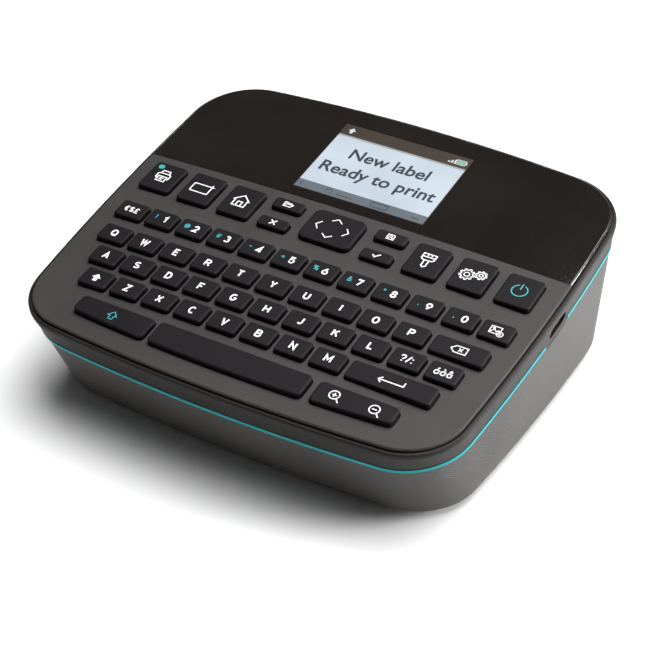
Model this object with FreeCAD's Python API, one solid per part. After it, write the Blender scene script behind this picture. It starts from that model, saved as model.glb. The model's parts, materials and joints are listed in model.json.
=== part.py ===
# Desktop label maker: tilted keyboard housing, bowl-shaped base, rear-loaded print unit.
# Units are millimetres. +X is right, +Y is back, +Z is up; the feet stand on Z = 0.
# Parts of the upper half are drawn in the deck frame (u right, v back, w square to the
# plates, w = 0 on the plate surface) and then tilted onto the base.
import FreeCAD
import Part
import os
from math import acos, atan2, cos, hypot, pi, radians, sin, sqrt, tan
from FreeCAD import Placement, Rotation, Vector

# ---------------------------------------------------------------- driving dimensions
TILT = 8.75               # slope of the keyboard deck, degrees
DECK_HEIGHT = 57.0        # plate surface above the desk at the digit row
CROWN = 2500.0            # radius of the plates' gentle side-to-side crown
PLATE_HALF = 96.8         # half width of the plates
PLATE_BACK = 98.4         # plate edge behind the digit row
PLATE_FRONT = 71.3        # plate edge in front of the digit row
WINDOW_EDGE = 37.1        # border between keypad plate and display window
PLATE_T = 2.2             # thickness of both plates
PLATE_ROUND = 0.7         # softened rim of the plates
WALL = 2.5                # housing wall
REVEAL = 0.8              # groove round the plates
BAND_STEP = 1.1           # how far the band stays below the plates
RIM = 2.0                 # band outside the plates
STRIP_W = -13.0           # upper edge of the accent strip
STRIP_T = 1.3             # height of the accent strip
FLOOR = 2.0               # underside of the base above the desk
BASE_ROUND = 5.0          # rounding at the foot of the base
INNER_ROUND = 3.0         # the same corner inside

PITCH = 15.0              # key pitch
CAP_WIDE = 12.7           # letter key
CAP_DEEP = 9.3
KEY_PROUD = 2.1           # key tops above the plate
KEY_GAP = 0.35            # round each key in the plate
KEY_TRAVEL = 1.2
KEY_ROUND = 0.75          # softened upper edges of a key
LIP = 0.6                 # retaining lip of a key
LIP_T = 0.8
LIP_GAP = 0.3             # between a lip and the underside of the plate

LCD_HALF = 30.1           # visible glass
LCD_NEAR = 42.6
LCD_FAR = 88.0

PORT_V = 22.5             # socket, measured back from the digit row
PORT_W = -9.75
PORT_LONG = 13.5
PORT_HIGH = 5.2

DOOR_HALF = 44.0          # cassette door
DOOR_LOW = 10.0
HINGE_Z = 44.5
PIN_R = 0.9
BARREL_R = 1.7
SPIN_GAP = 0.05           # radial running clearance
DOOR_GAP = 0.4

CASSETTE_HALF = 39.0      # label cassette
CASSETTE_LOW = 7.0
CASSETTE_TOP = 42.0
CASSETTE_DEEP = 27.0
CHASSIS_Y = 60.0          # front face of the chassis plate
CHASSIS_T = 2.0
CASSETTE_Y = 63.5         # front face of the cassette
LABEL_Z = 30.0            # height at which the label leaves
PLATEN_X = -47.0
PLATEN_R = 5.0
MODULE = 0.6              # gears
GEAR_T = 3.0
PINION_TEETH = 14
PLATEN_TEETH = 20
IDLER_TEETH = 30
RIBBON_TEETH = 24
BACKLASH = 0.12

BATTERY = (64.0, 40.0, 16.0)
BATTERY_Y = -24.0
COVER = (70.0, 46.0, 1.6)
COVER_SLIDE = 16.0

SCREWS = ((84.5, -37.5), (84.0, 45.0))    # right-hand housing screws in deck coordinates
SCREW_MEET = 24.0         # height at which the posts of the two housings meet
UPPER_POST_R = 3.2
LOWER_POST_R = 4.0
SCREW_R = 1.25
SCREW_HEAD_R = 2.7

STAKES = ((60.9, 9.3), (60.9, -7.4), (40.0, -47.9))    # right-hand pins that hold the key boards
STAKE_R = 1.4

# ---------------------------------------------------------------- derived places
SLOPE = radians(TILT)
DECK = Placement(Vector(0, 0, DECK_HEIGHT), Rotation(Vector(1, 0, 0), TILT))
DECK_LOW = -(PLATE_T + 2.0 + PLATE_HALF ** 2 / (2 * CROWN))   # flat underside of the deck
PLATEN_Z = LABEL_Z - PLATEN_R - 0.15
IDLER_X = PLATEN_X + 13.0
IDLER_R = MODULE * IDLER_TEETH / 2
PLATEN_GEAR_R = MODULE * PLATEN_TEETH / 2
PINION_R = MODULE * PINION_TEETH / 2
RIBBON_R = MODULE * RIBBON_TEETH / 2
IDLER_Z = PLATEN_Z - sqrt((IDLER_R + PLATEN_GEAR_R) ** 2 - 13.0 ** 2)
PINION_X = IDLER_X - 12.6
PINION_Z = IDLER_Z - sqrt((IDLER_R + PINION_R) ** 2 - 12.6 ** 2)
RIBBON_X = IDLER_X + 14.0
RIBBON_Z = IDLER_Z + sqrt((IDLER_R + RIBBON_R) ** 2 - 14.0 ** 2)
ROLL_X = 17.0
ROLL_Z = (CASSETTE_LOW + CASSETTE_TOP) / 2
ROLL_R = 14.5
GEAR_Y = CHASSIS_Y - 1.0 - GEAR_T
SHAFT_R = 1.5
CUTTER_X = -62.0
EXIT_HALF = 7.5           # label exit: half height, and how far it runs past the cassette
EXIT_FRONT = 2.5
EXIT_BACK = 1.5


# ---------------------------------------------------------------- outlines
class Outline:
    """Closed rounded outline: bowed sides, front and back joined by tangent corners."""

    def __init__(self, half, front, back, widest, side_r, front_r, back_r, front_c, back_c):
        self.half = half
        self.front = front
        self.back = back
        self.widest = widest
        self.side_r = side_r
        self.front_r = front_r
        self.back_r = back_r
        self.front_c = front_c
        self.back_c = back_c

    def inset(self, d):
        return Outline(self.half - d, self.front - d, self.back - d, self.widest, self.side_r - d,
                       self.front_r - d, self.back_r - d, self.front_c - d, self.back_c - d)

    def corner(self, y0, big_r, small_r, ahead):
        """Centre of the corner arc tangent inside the end bow and the right side bow."""
        sx = self.half - self.side_r
        a = self.side_r - small_r
        b = big_r - small_r
        dx = -sx
        dy = y0 - self.widest
        d = hypot(dx, dy)
        along = (a * a - b * b + d * d) / (2 * d)
        off = sqrt(a * a - along * along)
        ex = dx / d
        ey = dy / d
        side = 1.0 if ahead else -1.0
        return (sx + ex * along - side * ey * off, self.widest + ey * along + side * ex * off)

    def edges(self, w):
        """Eight arcs at height w, starting with the front bow, counter-clockwise from above."""

        def at(x, y):
            return Vector(x, y, w)

        fc = (0.0, -self.front + self.front_r)
        bc = (0.0, self.back - self.back_r)
        sc = (self.half - self.side_r, self.widest)
        cands = [self.corner(fc[1], self.front_r, self.front_c, s) for s in (True, False)]
        kf = min(cands, key=lambda c: c[1])
        cands = [self.corner(bc[1], self.back_r, self.back_c, s) for s in (True, False)]
        kb = max(cands, key=lambda c: c[1])

        def reach(centre, through, radius):
            d = hypot(through[0] - centre[0], through[1] - centre[1])
            return (centre[0] + (through[0] - centre[0]) / d * radius,
                    centre[1] + (through[1] - centre[1]) / d * radius)

        def middle(centre, p, q, radius):
            return reach(centre, ((p[0] + q[0]) / 2, (p[1] + q[1]) / 2), radius)

        f_end = reach(fc, kf, self.front_r)
        s_low = reach(sc, kf, self.side_r)
        s_high = reach(sc, kb, self.side_r)
        b_end = reach(bc, kb, self.back_r)
        f_mid = middle(kf, f_end, s_low, self.front_c)
        s_mid = (self.half, self.widest)
        b_mid = middle(kb, s_high, b_end, self.back_c)

        def mirror(p):
            return (-p[0], p[1])

        stops = [(mirror(f_end), (0.0, -self.front), f_end),
                 (f_end, f_mid, s_low),
                 (s_low, s_mid, s_high),
                 (s_high, b_mid, b_end),
                 (b_end, (0.0, self.back), mirror(b_end)),
                 (mirror(b_end), mirror(b_mid), mirror(s_high)),
                 (mirror(s_high), mirror(s_mid), mirror(s_low)),
                 (mirror(s_low), mirror(f_mid), mirror(f_end))]
        return [Part.Arc(at(*a), at(*m), at(*b)).toShape() for a, m, b in stops]

    def wire(self, w):
        return Part.Wire(self.edges(w))

    def prism(self, low, high):
        return Part.Face(self.wire(low)).extrude(Vector(0, 0, high - low))


PLATE = Outline(PLATE_HALF, PLATE_FRONT, PLATE_BACK, 37.0, 1050.0, 690.0, 1050.0, 24.0, 25.0)
STRIP = Outline(PLATE_HALF + 0.7, PLATE_FRONT - 1.0, PLATE_BACK - 0.1, 37.0, 1000.0, 850.0, 1050.0,
                27.0, 26.0)
FOOT = Outline(PLATE_HALF - 3.0, PLATE_FRONT - 17.4, PLATE_BACK + 1.1, 37.0, 1000.0, 850.0, 1050.0,
               27.0, 24.0)


# ---------------------------------------------------------------- small helpers
def box(x0, x1, y0, y1, z0, z1):
    return Part.makeBox(x1 - x0, y1 - y0, z1 - z0, Vector(x0, y0, z0))


def rod(radius, length, at, along):
    return Part.makeCylinder(radius, length, at, along)


X_AXIS = Vector(1, 0, 0)
Y_AXIS = Vector(0, 1, 0)
Z_AXIS = Vector(0, 0, 1)


def fused(shapes):
    return shapes[0].multiFuse(shapes[1:]).removeSplitter() if len(shapes) > 1 else shapes[0]


def pad(u0, u1, v0, v1, w0, w1, corner):
    """Block with rounded upright edges."""
    block = box(u0, u1, v0, v1, w0, w1)
    upright = [e for e in block.Edges if abs(e.tangentAt(e.FirstParameter).z) > 0.99]
    return block.makeFillet(corner, upright)


def crown_drop(u):
    return u * u / (2 * CROWN)


def crown_rod(drop):
    """Everything below the crowned surface that lies 'drop' under the plate surface."""
    drum = Part.makeCylinder(CROWN - drop, 400.0)
    drum.Placement = Placement(Vector(0, -200.0, -CROWN), Rotation(Vector(1, 0, 0), -90))
    return drum


def tilted(shape):
    out = shape.copy()
    out.Placement = DECK.multiply(out.Placement)
    return out


def gear(teeth, thickness, bore, phase, backlash=BACKLASH):
    """Spur gear about +Y, standing on y = 0, one tooth centred at 'phase' radians from +X."""
    pitch_r = MODULE * teeth / 2
    base_r = pitch_r * cos(radians(20))
    tip_r = pitch_r + 0.85 * MODULE
    root_r = pitch_r - 1.2 * MODULE
    inv20 = tan(radians(20)) - radians(20)
    half = pi / (2 * teeth) - backlash / (2 * pitch_r)

    def flank(r):
        roll = acos(min(1.0, base_r / r))
        return half + inv20 - (tan(roll) - roll)

    start = max(base_r, root_r)
    radii = [start + (tip_r - start) * k / 3.0 for k in range(4)]
    points = []
    for n in range(teeth):
        centre = phase + 2 * pi * n / teeth
        for r, a in [(root_r, -flank(start))] + [(r, -flank(r)) for r in radii]:
            points.append((r, centre + a))
        for r, a in [(r, flank(r)) for r in reversed(radii)] + [(root_r, flank(start))]:
            points.append((r, centre + a))
    corners = [Vector(r * cos(a), 0, r * sin(a)) for r, a in points]
    face = Part.Face(Part.makePolygon(corners + corners[:1]))
    body = face.extrude(Vector(0, thickness, 0))
    if bore:
        body = body.cut(rod(bore, thickness + 2, Vector(0, -1, 0), Y_AXIS))
    return body


def meshing_phase(first_r, first_phase, first_teeth, direction, other_r):
    """Phase of a gear whose teeth fall in the gaps of a neighbour lying back along 'direction'."""
    step = 2 * pi / first_teeth
    offset = ((direction - first_phase) % step) * first_r
    return direction + pi - (-offset + pi * MODULE / 2) / other_r


# ---------------------------------------------------------------- housing
def keypad_plate():
    blank = PLATE.prism(-10.0, 1.0).common(box(-150, 150, -150, WINDOW_EDGE - 0.1, -10, 2))
    plate = blank.common(crown_rod(0)).cut(crown_rod(PLATE_T))
    holes = [key_hole(spec) for spec in all_keys()]
    plate = soften_rim(plate).cut(Part.makeCompound(holes))
    pins = stakes(MAIN_TOP - BOARD_T - 0.6, -PLATE_T, 0.0).Solids
    return fused([plate] + pins)


def display_window():
    blank = PLATE.prism(-10.0, 1.0).common(box(-150, 150, WINDOW_EDGE + 0.1, 150, -10, 2))
    plate = blank.common(crown_rod(0)).cut(crown_rod(PLATE_T))
    glass = box(-LCD_HALF - 0.1, LCD_HALF + 0.1, LCD_NEAR - 0.1, LCD_FAR + 0.1, -5, 2)
    return soften_rim(plate).cut(glass)


def soften_rim(plate):
    """Small round along the outer upper edge of a plate, leaving its straight border sharp."""
    rim = []
    for e in plate.Edges:
        mid = e.valueAt((e.FirstParameter + e.LastParameter) / 2)
        on_top = abs(mid.z + crown_drop(mid.x)) < 0.02
        straight = abs(mid.y - WINDOW_EDGE) < 0.5
        if on_top and not straight:
            rim.append(e)
    return plate.makeFillet(PLATE_ROUND, rim)


def band_outside():
    """Outside of the band, from the accent strip up to just under the plate surface."""
    rim = PLATE.inset(-RIM)
    skirt = Part.makeLoft([STRIP.wire(STRIP_W), rim.wire(-4.5)], True, True)
    top = rim.prism(-4.5, 2.0)
    body = skirt.fuse(top).common(crown_rod(BAND_STEP))
    edges = []
    for e in body.Edges:
        mid = e.valueAt((e.FirstParameter + e.LastParameter) / 2)
        if abs(mid.z + BAND_STEP + crown_drop(mid.x)) < 0.02:
            edges.append(e)
    return body.makeFillet(1.1, edges)


def port_lobe(gap):
    """Tongue that dips below the strip round the socket, as a block with rounded lower corners."""
    half = PORT_LONG / 2 + 2.4 + gap
    low = STRIP_W - 3.6 - gap
    block = box(85.0, 130.0, PORT_V - half, PORT_V + half, low, STRIP_W + 6.0)
    lower = [e for e in block.Edges
             if abs(e.tangentAt(e.FirstParameter).x) > 0.99 and e.Vertexes[0].Z < low + 0.01]
    return block.makeFillet(3.4, lower)


def upper_housing():
    outside = band_outside()
    recess = PLATE.inset(-REVEAL).prism(-12.0, 3.0).cut(crown_rod(PLATE_T))
    hollow = STRIP.inset(WALL + 0.1).prism(STRIP_W - 2, DECK_LOW)
    keyboard = PLATE.inset(6.0).prism(-12.0, 3.0).common(box(-150, 150, -150, WINDOW_EDGE - 3, -12, 3))
    display = box(-LCD_HALF - 5, LCD_HALF + 5, LCD_NEAR - 4.6, LCD_FAR + 4.4, -12, 3)
    shell = outside.cut(recess).cut(hollow).cut(keyboard).cut(display)
    lobe = hull_outside_deck().cut(hull_inside_deck()).common(port_lobe(0))
    lobe = lobe.common(box(85, 130, 0, 60, STRIP_W - 8, STRIP_W + 0.0))
    slot = port_slot(85.0, 130.0)
    body = shell.fuse(lobe).cut(slot)
    posts = [upper_post(u, v) for u, v in screw_places()]
    body = fused([body] + posts)
    corner_key = key_table()["key_picture"][0]
    body = body.cut(key_blank(corner_key, LIP + 2 * KEY_GAP, DECK_LOW - 1, 3.0))
    return tilted(body)


def post_low(v):
    """Deck height at which an upper post ends."""
    return -(DECK_HEIGHT + v * sin(SLOPE) - SCREW_MEET) / cos(SLOPE)


def upper_post(u, v):
    """Screw post with a gusset that ties it to the ledge under the plates."""
    low = post_low(v)
    side = 1 if u > 0 else -1
    post = rod(UPPER_POST_R, DECK_LOW - low + 0.5, Vector(u, v, low), Z_AXIS)
    ends = sorted((u, side * (PLATE_HALF - 5.8)))
    gusset = box(ends[0], ends[1], v - 1.5, v + 1.5, DECK_LOW - 2.5, DECK_LOW + 0.5)
    return post.fuse(gusset).cut(rod(SCREW_R - 0.25, 9.0, Vector(u, v, low), Z_AXIS))


def port_slot(u0, u1):
    half = PORT_LONG / 2
    r = PORT_HIGH / 2
    core = box(u0, u1, PORT_V - half + r, PORT_V + half - r, PORT_W - r, PORT_W + r)
    ends = [rod(r, u1 - u0, Vector(u0, PORT_V + s * (half - r), PORT_W), X_AXIS) for s in (-1, 1)]
    return fused([core] + ends)


def screw_places():
    """Deck positions of the housing posts, mirrored left and right."""
    out = []
    for u, v in SCREWS:
        out.append((u, v))
        out.append((-u, v))
    return out


def hull_solid(inset, z_low, round_r):
    """Tapered bowl from the level foot outline up to the tilted strip outline."""
    body = Part.makeLoft([FOOT.inset(inset).wire(z_low), tilted(STRIP.inset(inset).wire(STRIP_W))],
                         True, True)
    edges = []
    for e in body.Edges:
        mid = e.valueAt((e.FirstParameter + e.LastParameter) / 2)
        ends_low = all(abs(v.Z - z_low) < 0.01 for v in e.Vertexes)
        if ends_low and abs(mid.z - z_low) < 0.01:
            edges.append(e)
    return body.makeFillet(round_r, edges)


def hull_outside():
    return hull_solid(0.0, FLOOR, BASE_ROUND)


def hull_inside():
    return hull_solid(WALL, FLOOR + WALL, INNER_ROUND)


def to_deck(shape):
    out = shape.copy()
    out.Placement = DECK.inverse().multiply(out.Placement)
    return out


def hull_outside_deck():
    return to_deck(hull_outside())


def hull_inside_deck():
    return to_deck(hull_inside())


def rebate():
    """Step in the upper edge of the base that carries the accent strip."""
    ring = STRIP.inset(-5.0).prism(STRIP_W - STRIP_T, STRIP_W + 2).cut(
        STRIP.inset(1.5).prism(STRIP_W - STRIP_T - 1, STRIP_W + 3))
    return tilted(ring)


def lower_housing():
    shell = hull_outside().cut(hull_inside())
    shell = shell.cut(rebate())
    lobe = tilted(port_lobe(0.15))
    shell = shell.cut(lobe)
    additions = []
    for u, v in screw_places():
        x, y = post_xy(u, v)
        additions.append(rod(LOWER_POST_R, SCREW_MEET - FLOOR - 1.6, Vector(x, y, FLOOR + 1.0), Z_AXIS))
    additions += [battery_bay_walls(), cover_bed()] + hinge_bosses() + chassis_feet()
    body = fused([shell] + additions).common(hull_outside())
    for u, v in screw_places():
        x, y = post_xy(u, v)
        body = body.cut(rod(SCREW_R + 0.15, 60.0, Vector(x, y, -1), Z_AXIS))
        body = body.cut(rod(SCREW_HEAD_R + 0.3, 4.0, Vector(x, y, FLOOR - 1), Z_AXIS))
    body = body.cut(cover_track())
    body = body.cut(box(-BATTERY[0] / 2 - 0.5, BATTERY[0] / 2 + 0.5, BATTERY_Y - BATTERY[1] / 2 - 0.5,
                        BATTERY_Y + BATTERY[1] / 2 + 0.5, FLOOR - 2, FLOOR + 6))
    body = body.cut(door_opening())
    body = body.cut(rod(PIN_R, 2 * DOOR_HALF + 10, Vector(-DOOR_HALF - 5, hinge_y(), HINGE_Z), X_AXIS))
    body = body.cut(exit_opening())
    for x, y in feet_places():
        body = body.cut(rod(6.0, 2.0, Vector(x, y, FLOOR - 1.0), Z_AXIS))
    return body


def post_xy(u, v):
    """Where a deck point's post comes down on the desk plane at the meeting height."""
    return u, v * cos(SLOPE) - post_low(v) * sin(SLOPE)


def feet_places():
    return [(sx * 66.0, y) for sx in (-1, 1) for y in (-40.0, 74.0)]


def rubber_feet():
    pads = []
    for x, y in feet_places():
        pads.append(rod(5.9, FLOOR + 0.95, Vector(x, y, 0), Z_AXIS))
    rounded = []
    for p in pads:
        low = [e for e in p.Edges if abs(e.BoundBox.ZMax) < 0.01]
        rounded.append(p.makeFillet(0.5, low))
    return Part.makeCompound(rounded)


def housing_screws():
    screws = []
    for u, v in screw_places():
        x, y = post_xy(u, v)
        head = rod(SCREW_HEAD_R, 1.8, Vector(x, y, FLOOR + 1.15), Z_AXIS)
        shank = rod(SCREW_R, SCREW_MEET - FLOOR - 2.5, Vector(x, y, FLOOR + 2.0), Z_AXIS)
        cross = box(x - 1.6, x + 1.6, y - 0.35, y + 0.35, FLOOR + 1.0, FLOOR + 2.1)
        cross = cross.fuse(box(x - 0.35, x + 0.35, y - 1.6, y + 1.6, FLOOR + 1.0, FLOOR + 2.1))
        screws.append(head.fuse(shank).removeSplitter().cut(cross))
    return Part.makeCompound(screws)


def accent_strip():
    outer = STRIP.inset(-0.25).prism(STRIP_W - STRIP_T, STRIP_W)
    ring = outer.cut(STRIP.inset(1.4).prism(STRIP_W - STRIP_T - 1, STRIP_W + 1))
    half = PORT_LONG / 2 + 2.4 + 0.3
    ring = ring.cut(box(60, 130, PORT_V - half, PORT_V + half, STRIP_W - 3, STRIP_W + 3))
    return tilted(ring)


# ---------------------------------------------------------------- underside: battery
def cover_y(far):
    return BATTERY_Y + (COVER[1] / 2 if far else -COVER[1] / 2)


def cover_track():
    """Shallow pocket under the base in which the cover slides, with side grooves."""
    mouth = box(-COVER[0] / 2, COVER[0] / 2, cover_y(0) - 0.2, cover_y(1) + COVER_SLIDE + 0.2,
                FLOOR - 2, FLOOR + COVER[2] + 0.3)
    groove = box(-COVER[0] / 2 - 1.4, COVER[0] / 2 + 1.4, cover_y(0) - 0.2,
                 cover_y(1) + COVER_SLIDE + 0.2, FLOOR + 0.8, FLOOR + COVER[2] + 0.3)
    return mouth.fuse(groove)


def battery_cover():
    plate = box(-COVER[0] / 2 + 0.2, COVER[0] / 2 - 0.2, cover_y(0), cover_y(1), FLOOR, FLOOR + COVER[2])
    rails = box(-COVER[0] / 2 - 1.2, COVER[0] / 2 + 1.2, cover_y(0), cover_y(1),
                FLOOR + 0.9, FLOOR + COVER[2])
    cover = plate.fuse(rails).removeSplitter()
    for k in range(5):
        y = cover_y(0) + 6.0 + 2.2 * k
        cover = cover.cut(box(-9, 9, y, y + 1.0, FLOOR - 1, FLOOR + 0.5))
    return cover


def cover_bed():
    """Thicker floor in which the cover's track is cut."""
    x = COVER[0] / 2 + 4.0
    return box(-x, x, cover_y(0) - 3.0, cover_y(1) + COVER_SLIDE + 4.0, FLOOR + 1.0, FLOOR + WALL + 1.2)


def battery_bay_walls():
    """Four low walls that locate the battery pack on the floor of the base."""
    x = BATTERY[0] / 2 + 0.5
    y = BATTERY[1] / 2 + 0.5
    outer = box(-x - 1.8, x + 1.8, BATTERY_Y - y - 1.8, BATTERY_Y + y + 1.8, FLOOR + 1.0, FLOOR + 14.0)
    return outer.cut(box(-x, x, BATTERY_Y - y, BATTERY_Y + y, FLOOR, FLOOR + 20.0))


def battery_pack():
    z0 = FLOOR + COVER[2] + 0.5
    body = pad(-BATTERY[0] / 2, BATTERY[0] / 2, BATTERY_Y - BATTERY[1] / 2, BATTERY_Y + BATTERY[1] / 2,
               z0, z0 + BATTERY[2], 3.0)
    tabs = [box(x - 2, x + 2, BATTERY_Y + BATTERY[1] / 2 - 4, BATTERY_Y + BATTERY[1] / 2 - 0.5,
                z0 + BATTERY[2] - 0.1, z0 + BATTERY[2] + 0.4) for x in (-9, 0, 9)]
    return fused([body] + tabs)


# ---------------------------------------------------------------- rear: door and hinge
def hinge_y():
    """Hinge axis, just inside the middle of the rear wall."""
    drop = (STRIP_HEIGHT_BACK - HINGE_Z) / (STRIP_HEIGHT_BACK - FLOOR)
    return STRIP_Y_BACK + (FOOT.back - STRIP_Y_BACK) * drop - 2.6


STRIP_Y_BACK = STRIP.back * cos(SLOPE) - STRIP_W * sin(SLOPE)
STRIP_HEIGHT_BACK = STRIP.back * sin(SLOPE) + STRIP_W * cos(SLOPE) + DECK_HEIGHT


def door_opening():
    g = DOOR_GAP
    return box(-DOOR_HALF - g, DOOR_HALF + g, 60.0 + CASSETTE_DEEP, 130.0, DOOR_LOW - g, HINGE_Z + 3.3)


def cassette_door():
    skin = hull_outside().cut(hull_inside())
    panel = skin.common(box(-DOOR_HALF, DOOR_HALF, 80.0, 130.0, DOOR_LOW, HINGE_Z))
    barrel = rod(BARREL_R, 2 * DOOR_HALF, Vector(-DOOR_HALF, hinge_y(), HINGE_Z), X_AXIS)
    lip = box(-13, 13, FOOT.back - 1.6, FOOT.back + 1.0, DOOR_LOW + 0.01, DOOR_LOW + 1.9)
    grip = lip.common(hull_outside())
    ribs = [box(x - 0.6, x + 0.6, hinge_y() - 1.0, hinge_y() + 0.9, DOOR_LOW + 4, HINGE_Z)
            .common(hull_outside()) for x in (-30, -10, 10, 30)]
    door = fused([panel, barrel, grip] + ribs)
    scoop = rod(11.0, 30.0, Vector(0, FOOT.back - 1.2, DOOR_LOW - 6.0), Y_AXIS)
    door = door.cut(scoop.common(box(-20, 20, FOOT.back - 0.9, 130, 0, 40)))
    return door.cut(rod(PIN_R + SPIN_GAP, 2 * DOOR_HALF + 4, Vector(-DOOR_HALF - 2, hinge_y(), HINGE_Z),
                        X_AXIS))


def hinge_bosses():
    out = []
    for s in (-1, 1):
        x = s * (DOOR_HALF + DOOR_GAP + 2.5)
        boss = box(x - 2.5, x + 2.5, hinge_y() - 3.0, hinge_y() + 3.0, HINGE_Z - 3.0, HINGE_Z + 5.0)
        out.append(boss)
    return out


def door_hinge_pin():
    return rod(PIN_R, 2 * DOOR_HALF + 9.0, Vector(-DOOR_HALF - 4.5, hinge_y(), HINGE_Z), X_AXIS)


# ---------------------------------------------------------------- side: label exit
def pad_x(x0, x1, y0, y1, z0, z1, corner):
    block = box(x0, x1, y0, y1, z0, z1)
    long = [e for e in block.Edges if abs(e.tangentAt(e.FirstParameter).x) > 0.99]
    return block.makeFillet(corner, long)


def exit_panel(gap, inner_x):
    """Block through the left wall, as long as the cassette is deep and a little more."""
    return pad_x(-130.0, inner_x, CASSETTE_Y - EXIT_FRONT + gap, CASSETTE_Y + CASSETTE_DEEP + EXIT_BACK - gap,
                 LABEL_Z - EXIT_HALF + gap, LABEL_Z + EXIT_HALF - gap, 3.0 - gap)


def exit_opening():
    return exit_panel(0.0, -80.0)


def exit_bezel():
    """Insert in the left wall with the chute that guides the label out."""
    panel = exit_panel(0.1, -81.0)
    chute = box(-90.0, CUTTER_X - 6.0, CASSETTE_Y - 0.9, CASSETTE_Y + CASSETTE_DEEP + 0.9,
                LABEL_Z - 3.9, LABEL_Z + 3.9)
    block = panel.fuse(chute).removeSplitter().common(hull_solid(-0.6, FLOOR - 0.6, BASE_ROUND))
    throat = box(-140.0, -60.0, CASSETTE_Y + 0.6, CASSETTE_Y + CASSETTE_DEEP - 0.6,
                 LABEL_Z - 2.2, LABEL_Z + 2.2)
    return block.cut(throat)


# ---------------------------------------------------------------- keys
def key_x(column):
    """Centre of a column counted in key pitches from the middle of the keyboard."""
    return column * PITCH


def letter_row(first, count, row_v):
    return [(key_x(first + n) - CAP_WIDE / 2, key_x(first + n) + CAP_WIDE / 2, row_v - CAP_DEEP / 2,
             row_v + CAP_DEEP / 2, 1.2) for n in range(count)]


ROW_DIGIT = 0.15
ROW_TOP = -15.0
ROW_HOME = -27.75
ROW_LOW = -40.5
ROW_SPACE = -56.3
FUNC_NEAR = 15.0
FUNC_FAR = 31.7
FUNC_SPLIT_LOW = 20.2
FUNC_SPLIT_HIGH = 25.6


def key_table():
    """Every key: node, list of (u0, u1, v0, v1, corner)."""
    half = CAP_WIDE / 2
    table = {}
    table["key_print"] = [(-89.0, -74.2, FUNC_NEAR, FUNC_FAR, 1.6)]
    table["key_preview"] = [(-69.4, -54.6, FUNC_NEAR - 0.8, FUNC_FAR, 1.6)]
    table["key_home"] = [(-49.8, -35.2, FUNC_NEAR - 1.1, FUNC_FAR - 0.2, 1.6)]
    table["key_folder"] = [(-30.2, -16.8, FUNC_SPLIT_HIGH, FUNC_FAR, 1.4)]
    table["key_cancel"] = [(-30.2, -16.8, FUNC_NEAR - 1.2, FUNC_SPLIT_LOW - 0.6, 1.4)]
    table["key_navigation"] = [(-11.6, 11.6, FUNC_NEAR - 0.9, FUNC_FAR + 0.5, 3.2)]
    table["key_save"] = [(16.8, 30.2, FUNC_SPLIT_HIGH, FUNC_FAR, 1.4)]
    table["key_confirm"] = [(16.8, 30.2, FUNC_NEAR - 1.2, FUNC_SPLIT_LOW - 0.6, 1.4)]
    table["key_format"] = [(35.2, 49.8, FUNC_NEAR - 1.1, FUNC_FAR - 0.2, 1.6)]
    table["key_settings"] = [(54.6, 69.4, FUNC_NEAR - 0.8, FUNC_FAR, 1.6)]
    table["key_power"] = [(74.2, 89.0, FUNC_NEAR, FUNC_FAR, 1.6)]
    table["digit_keys"] = letter_row(-4.42, 10, ROW_DIGIT)
    table["key_currency"] = letter_row(-5.41, 1, ROW_DIGIT)
    table["key_picture"] = letter_row(5.56, 1, ROW_DIGIT)
    table["letter_keys_top"] = letter_row(-5.27, 10, ROW_TOP)
    table["key_backspace"] = [(key_x(4.73) - half, 86.8, ROW_TOP - CAP_DEEP / 2, ROW_TOP + CAP_DEEP / 2, 1.4)]
    table["letter_keys_home"] = letter_row(-4.94, 9, ROW_HOME)
    table["key_punctuation"] = letter_row(4.06, 1, ROW_HOME)
    table["key_accents"] = letter_row(5.06, 1, ROW_HOME)
    table["key_caps"] = letter_row(-4.66, 1, ROW_LOW)
    table["letter_keys_bottom"] = letter_row(-3.66, 7, ROW_LOW)
    table["key_enter"] = [(key_x(3.34) - half, 78.9, ROW_LOW - CAP_DEEP / 2, ROW_LOW + CAP_DEEP / 2, 1.4)]
    return table


def bottom_keys():
    """Three front keys between a straight edge and an arc that follows the front of the plate."""
    return {"key_shift": (-68.0, -34.3), "key_space": (-31.8, 35.0), "key_zoom": (38.3, 71.0)}


def all_keys():
    specs = []
    for group in key_table().values():
        specs += group
    for name in bottom_keys():
        specs.append(name)
    return specs


def key_blank(spec, grow, w0, w1):
    """Rounded block of a key's plan, grown all round."""
    if isinstance(spec, str):
        u0, u1 = bottom_keys()[spec]
        block = box(u0 - grow, u1 + grow, ROW_SPACE - 12.0, ROW_SPACE + 5.7 + grow, w0, w1)
        bow = PLATE.front_r - 8.8 + grow
        disc = rod(bow, w1 - w0, Vector(0, -PLATE.front + PLATE.front_r, w0), Z_AXIS)
        block = block.common(disc)
        upright = [e for e in block.Edges if abs(e.tangentAt(e.FirstParameter).z) > 0.99]
        return block.makeFillet(2.0 + grow, upright)
    u0, u1, v0, v1, corner = spec
    return pad(u0 - grow, u1 + grow, v0 - grow, v1 + grow, w0, w1, corner + grow)


def key_span(spec):
    return bottom_keys()[spec] if isinstance(spec, str) else spec[:2]


def key_hole(spec):
    return key_blank(spec, KEY_GAP, -12.0, 4.0)


def lip_level(spec):
    """Upper side of a key's lip, clear of the crowned plate at the lip's outer end."""
    reach = max(abs(u) for u in key_span(spec)) + LIP + KEY_GAP
    return -PLATE_T - LIP_GAP - crown_drop(reach)


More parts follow.
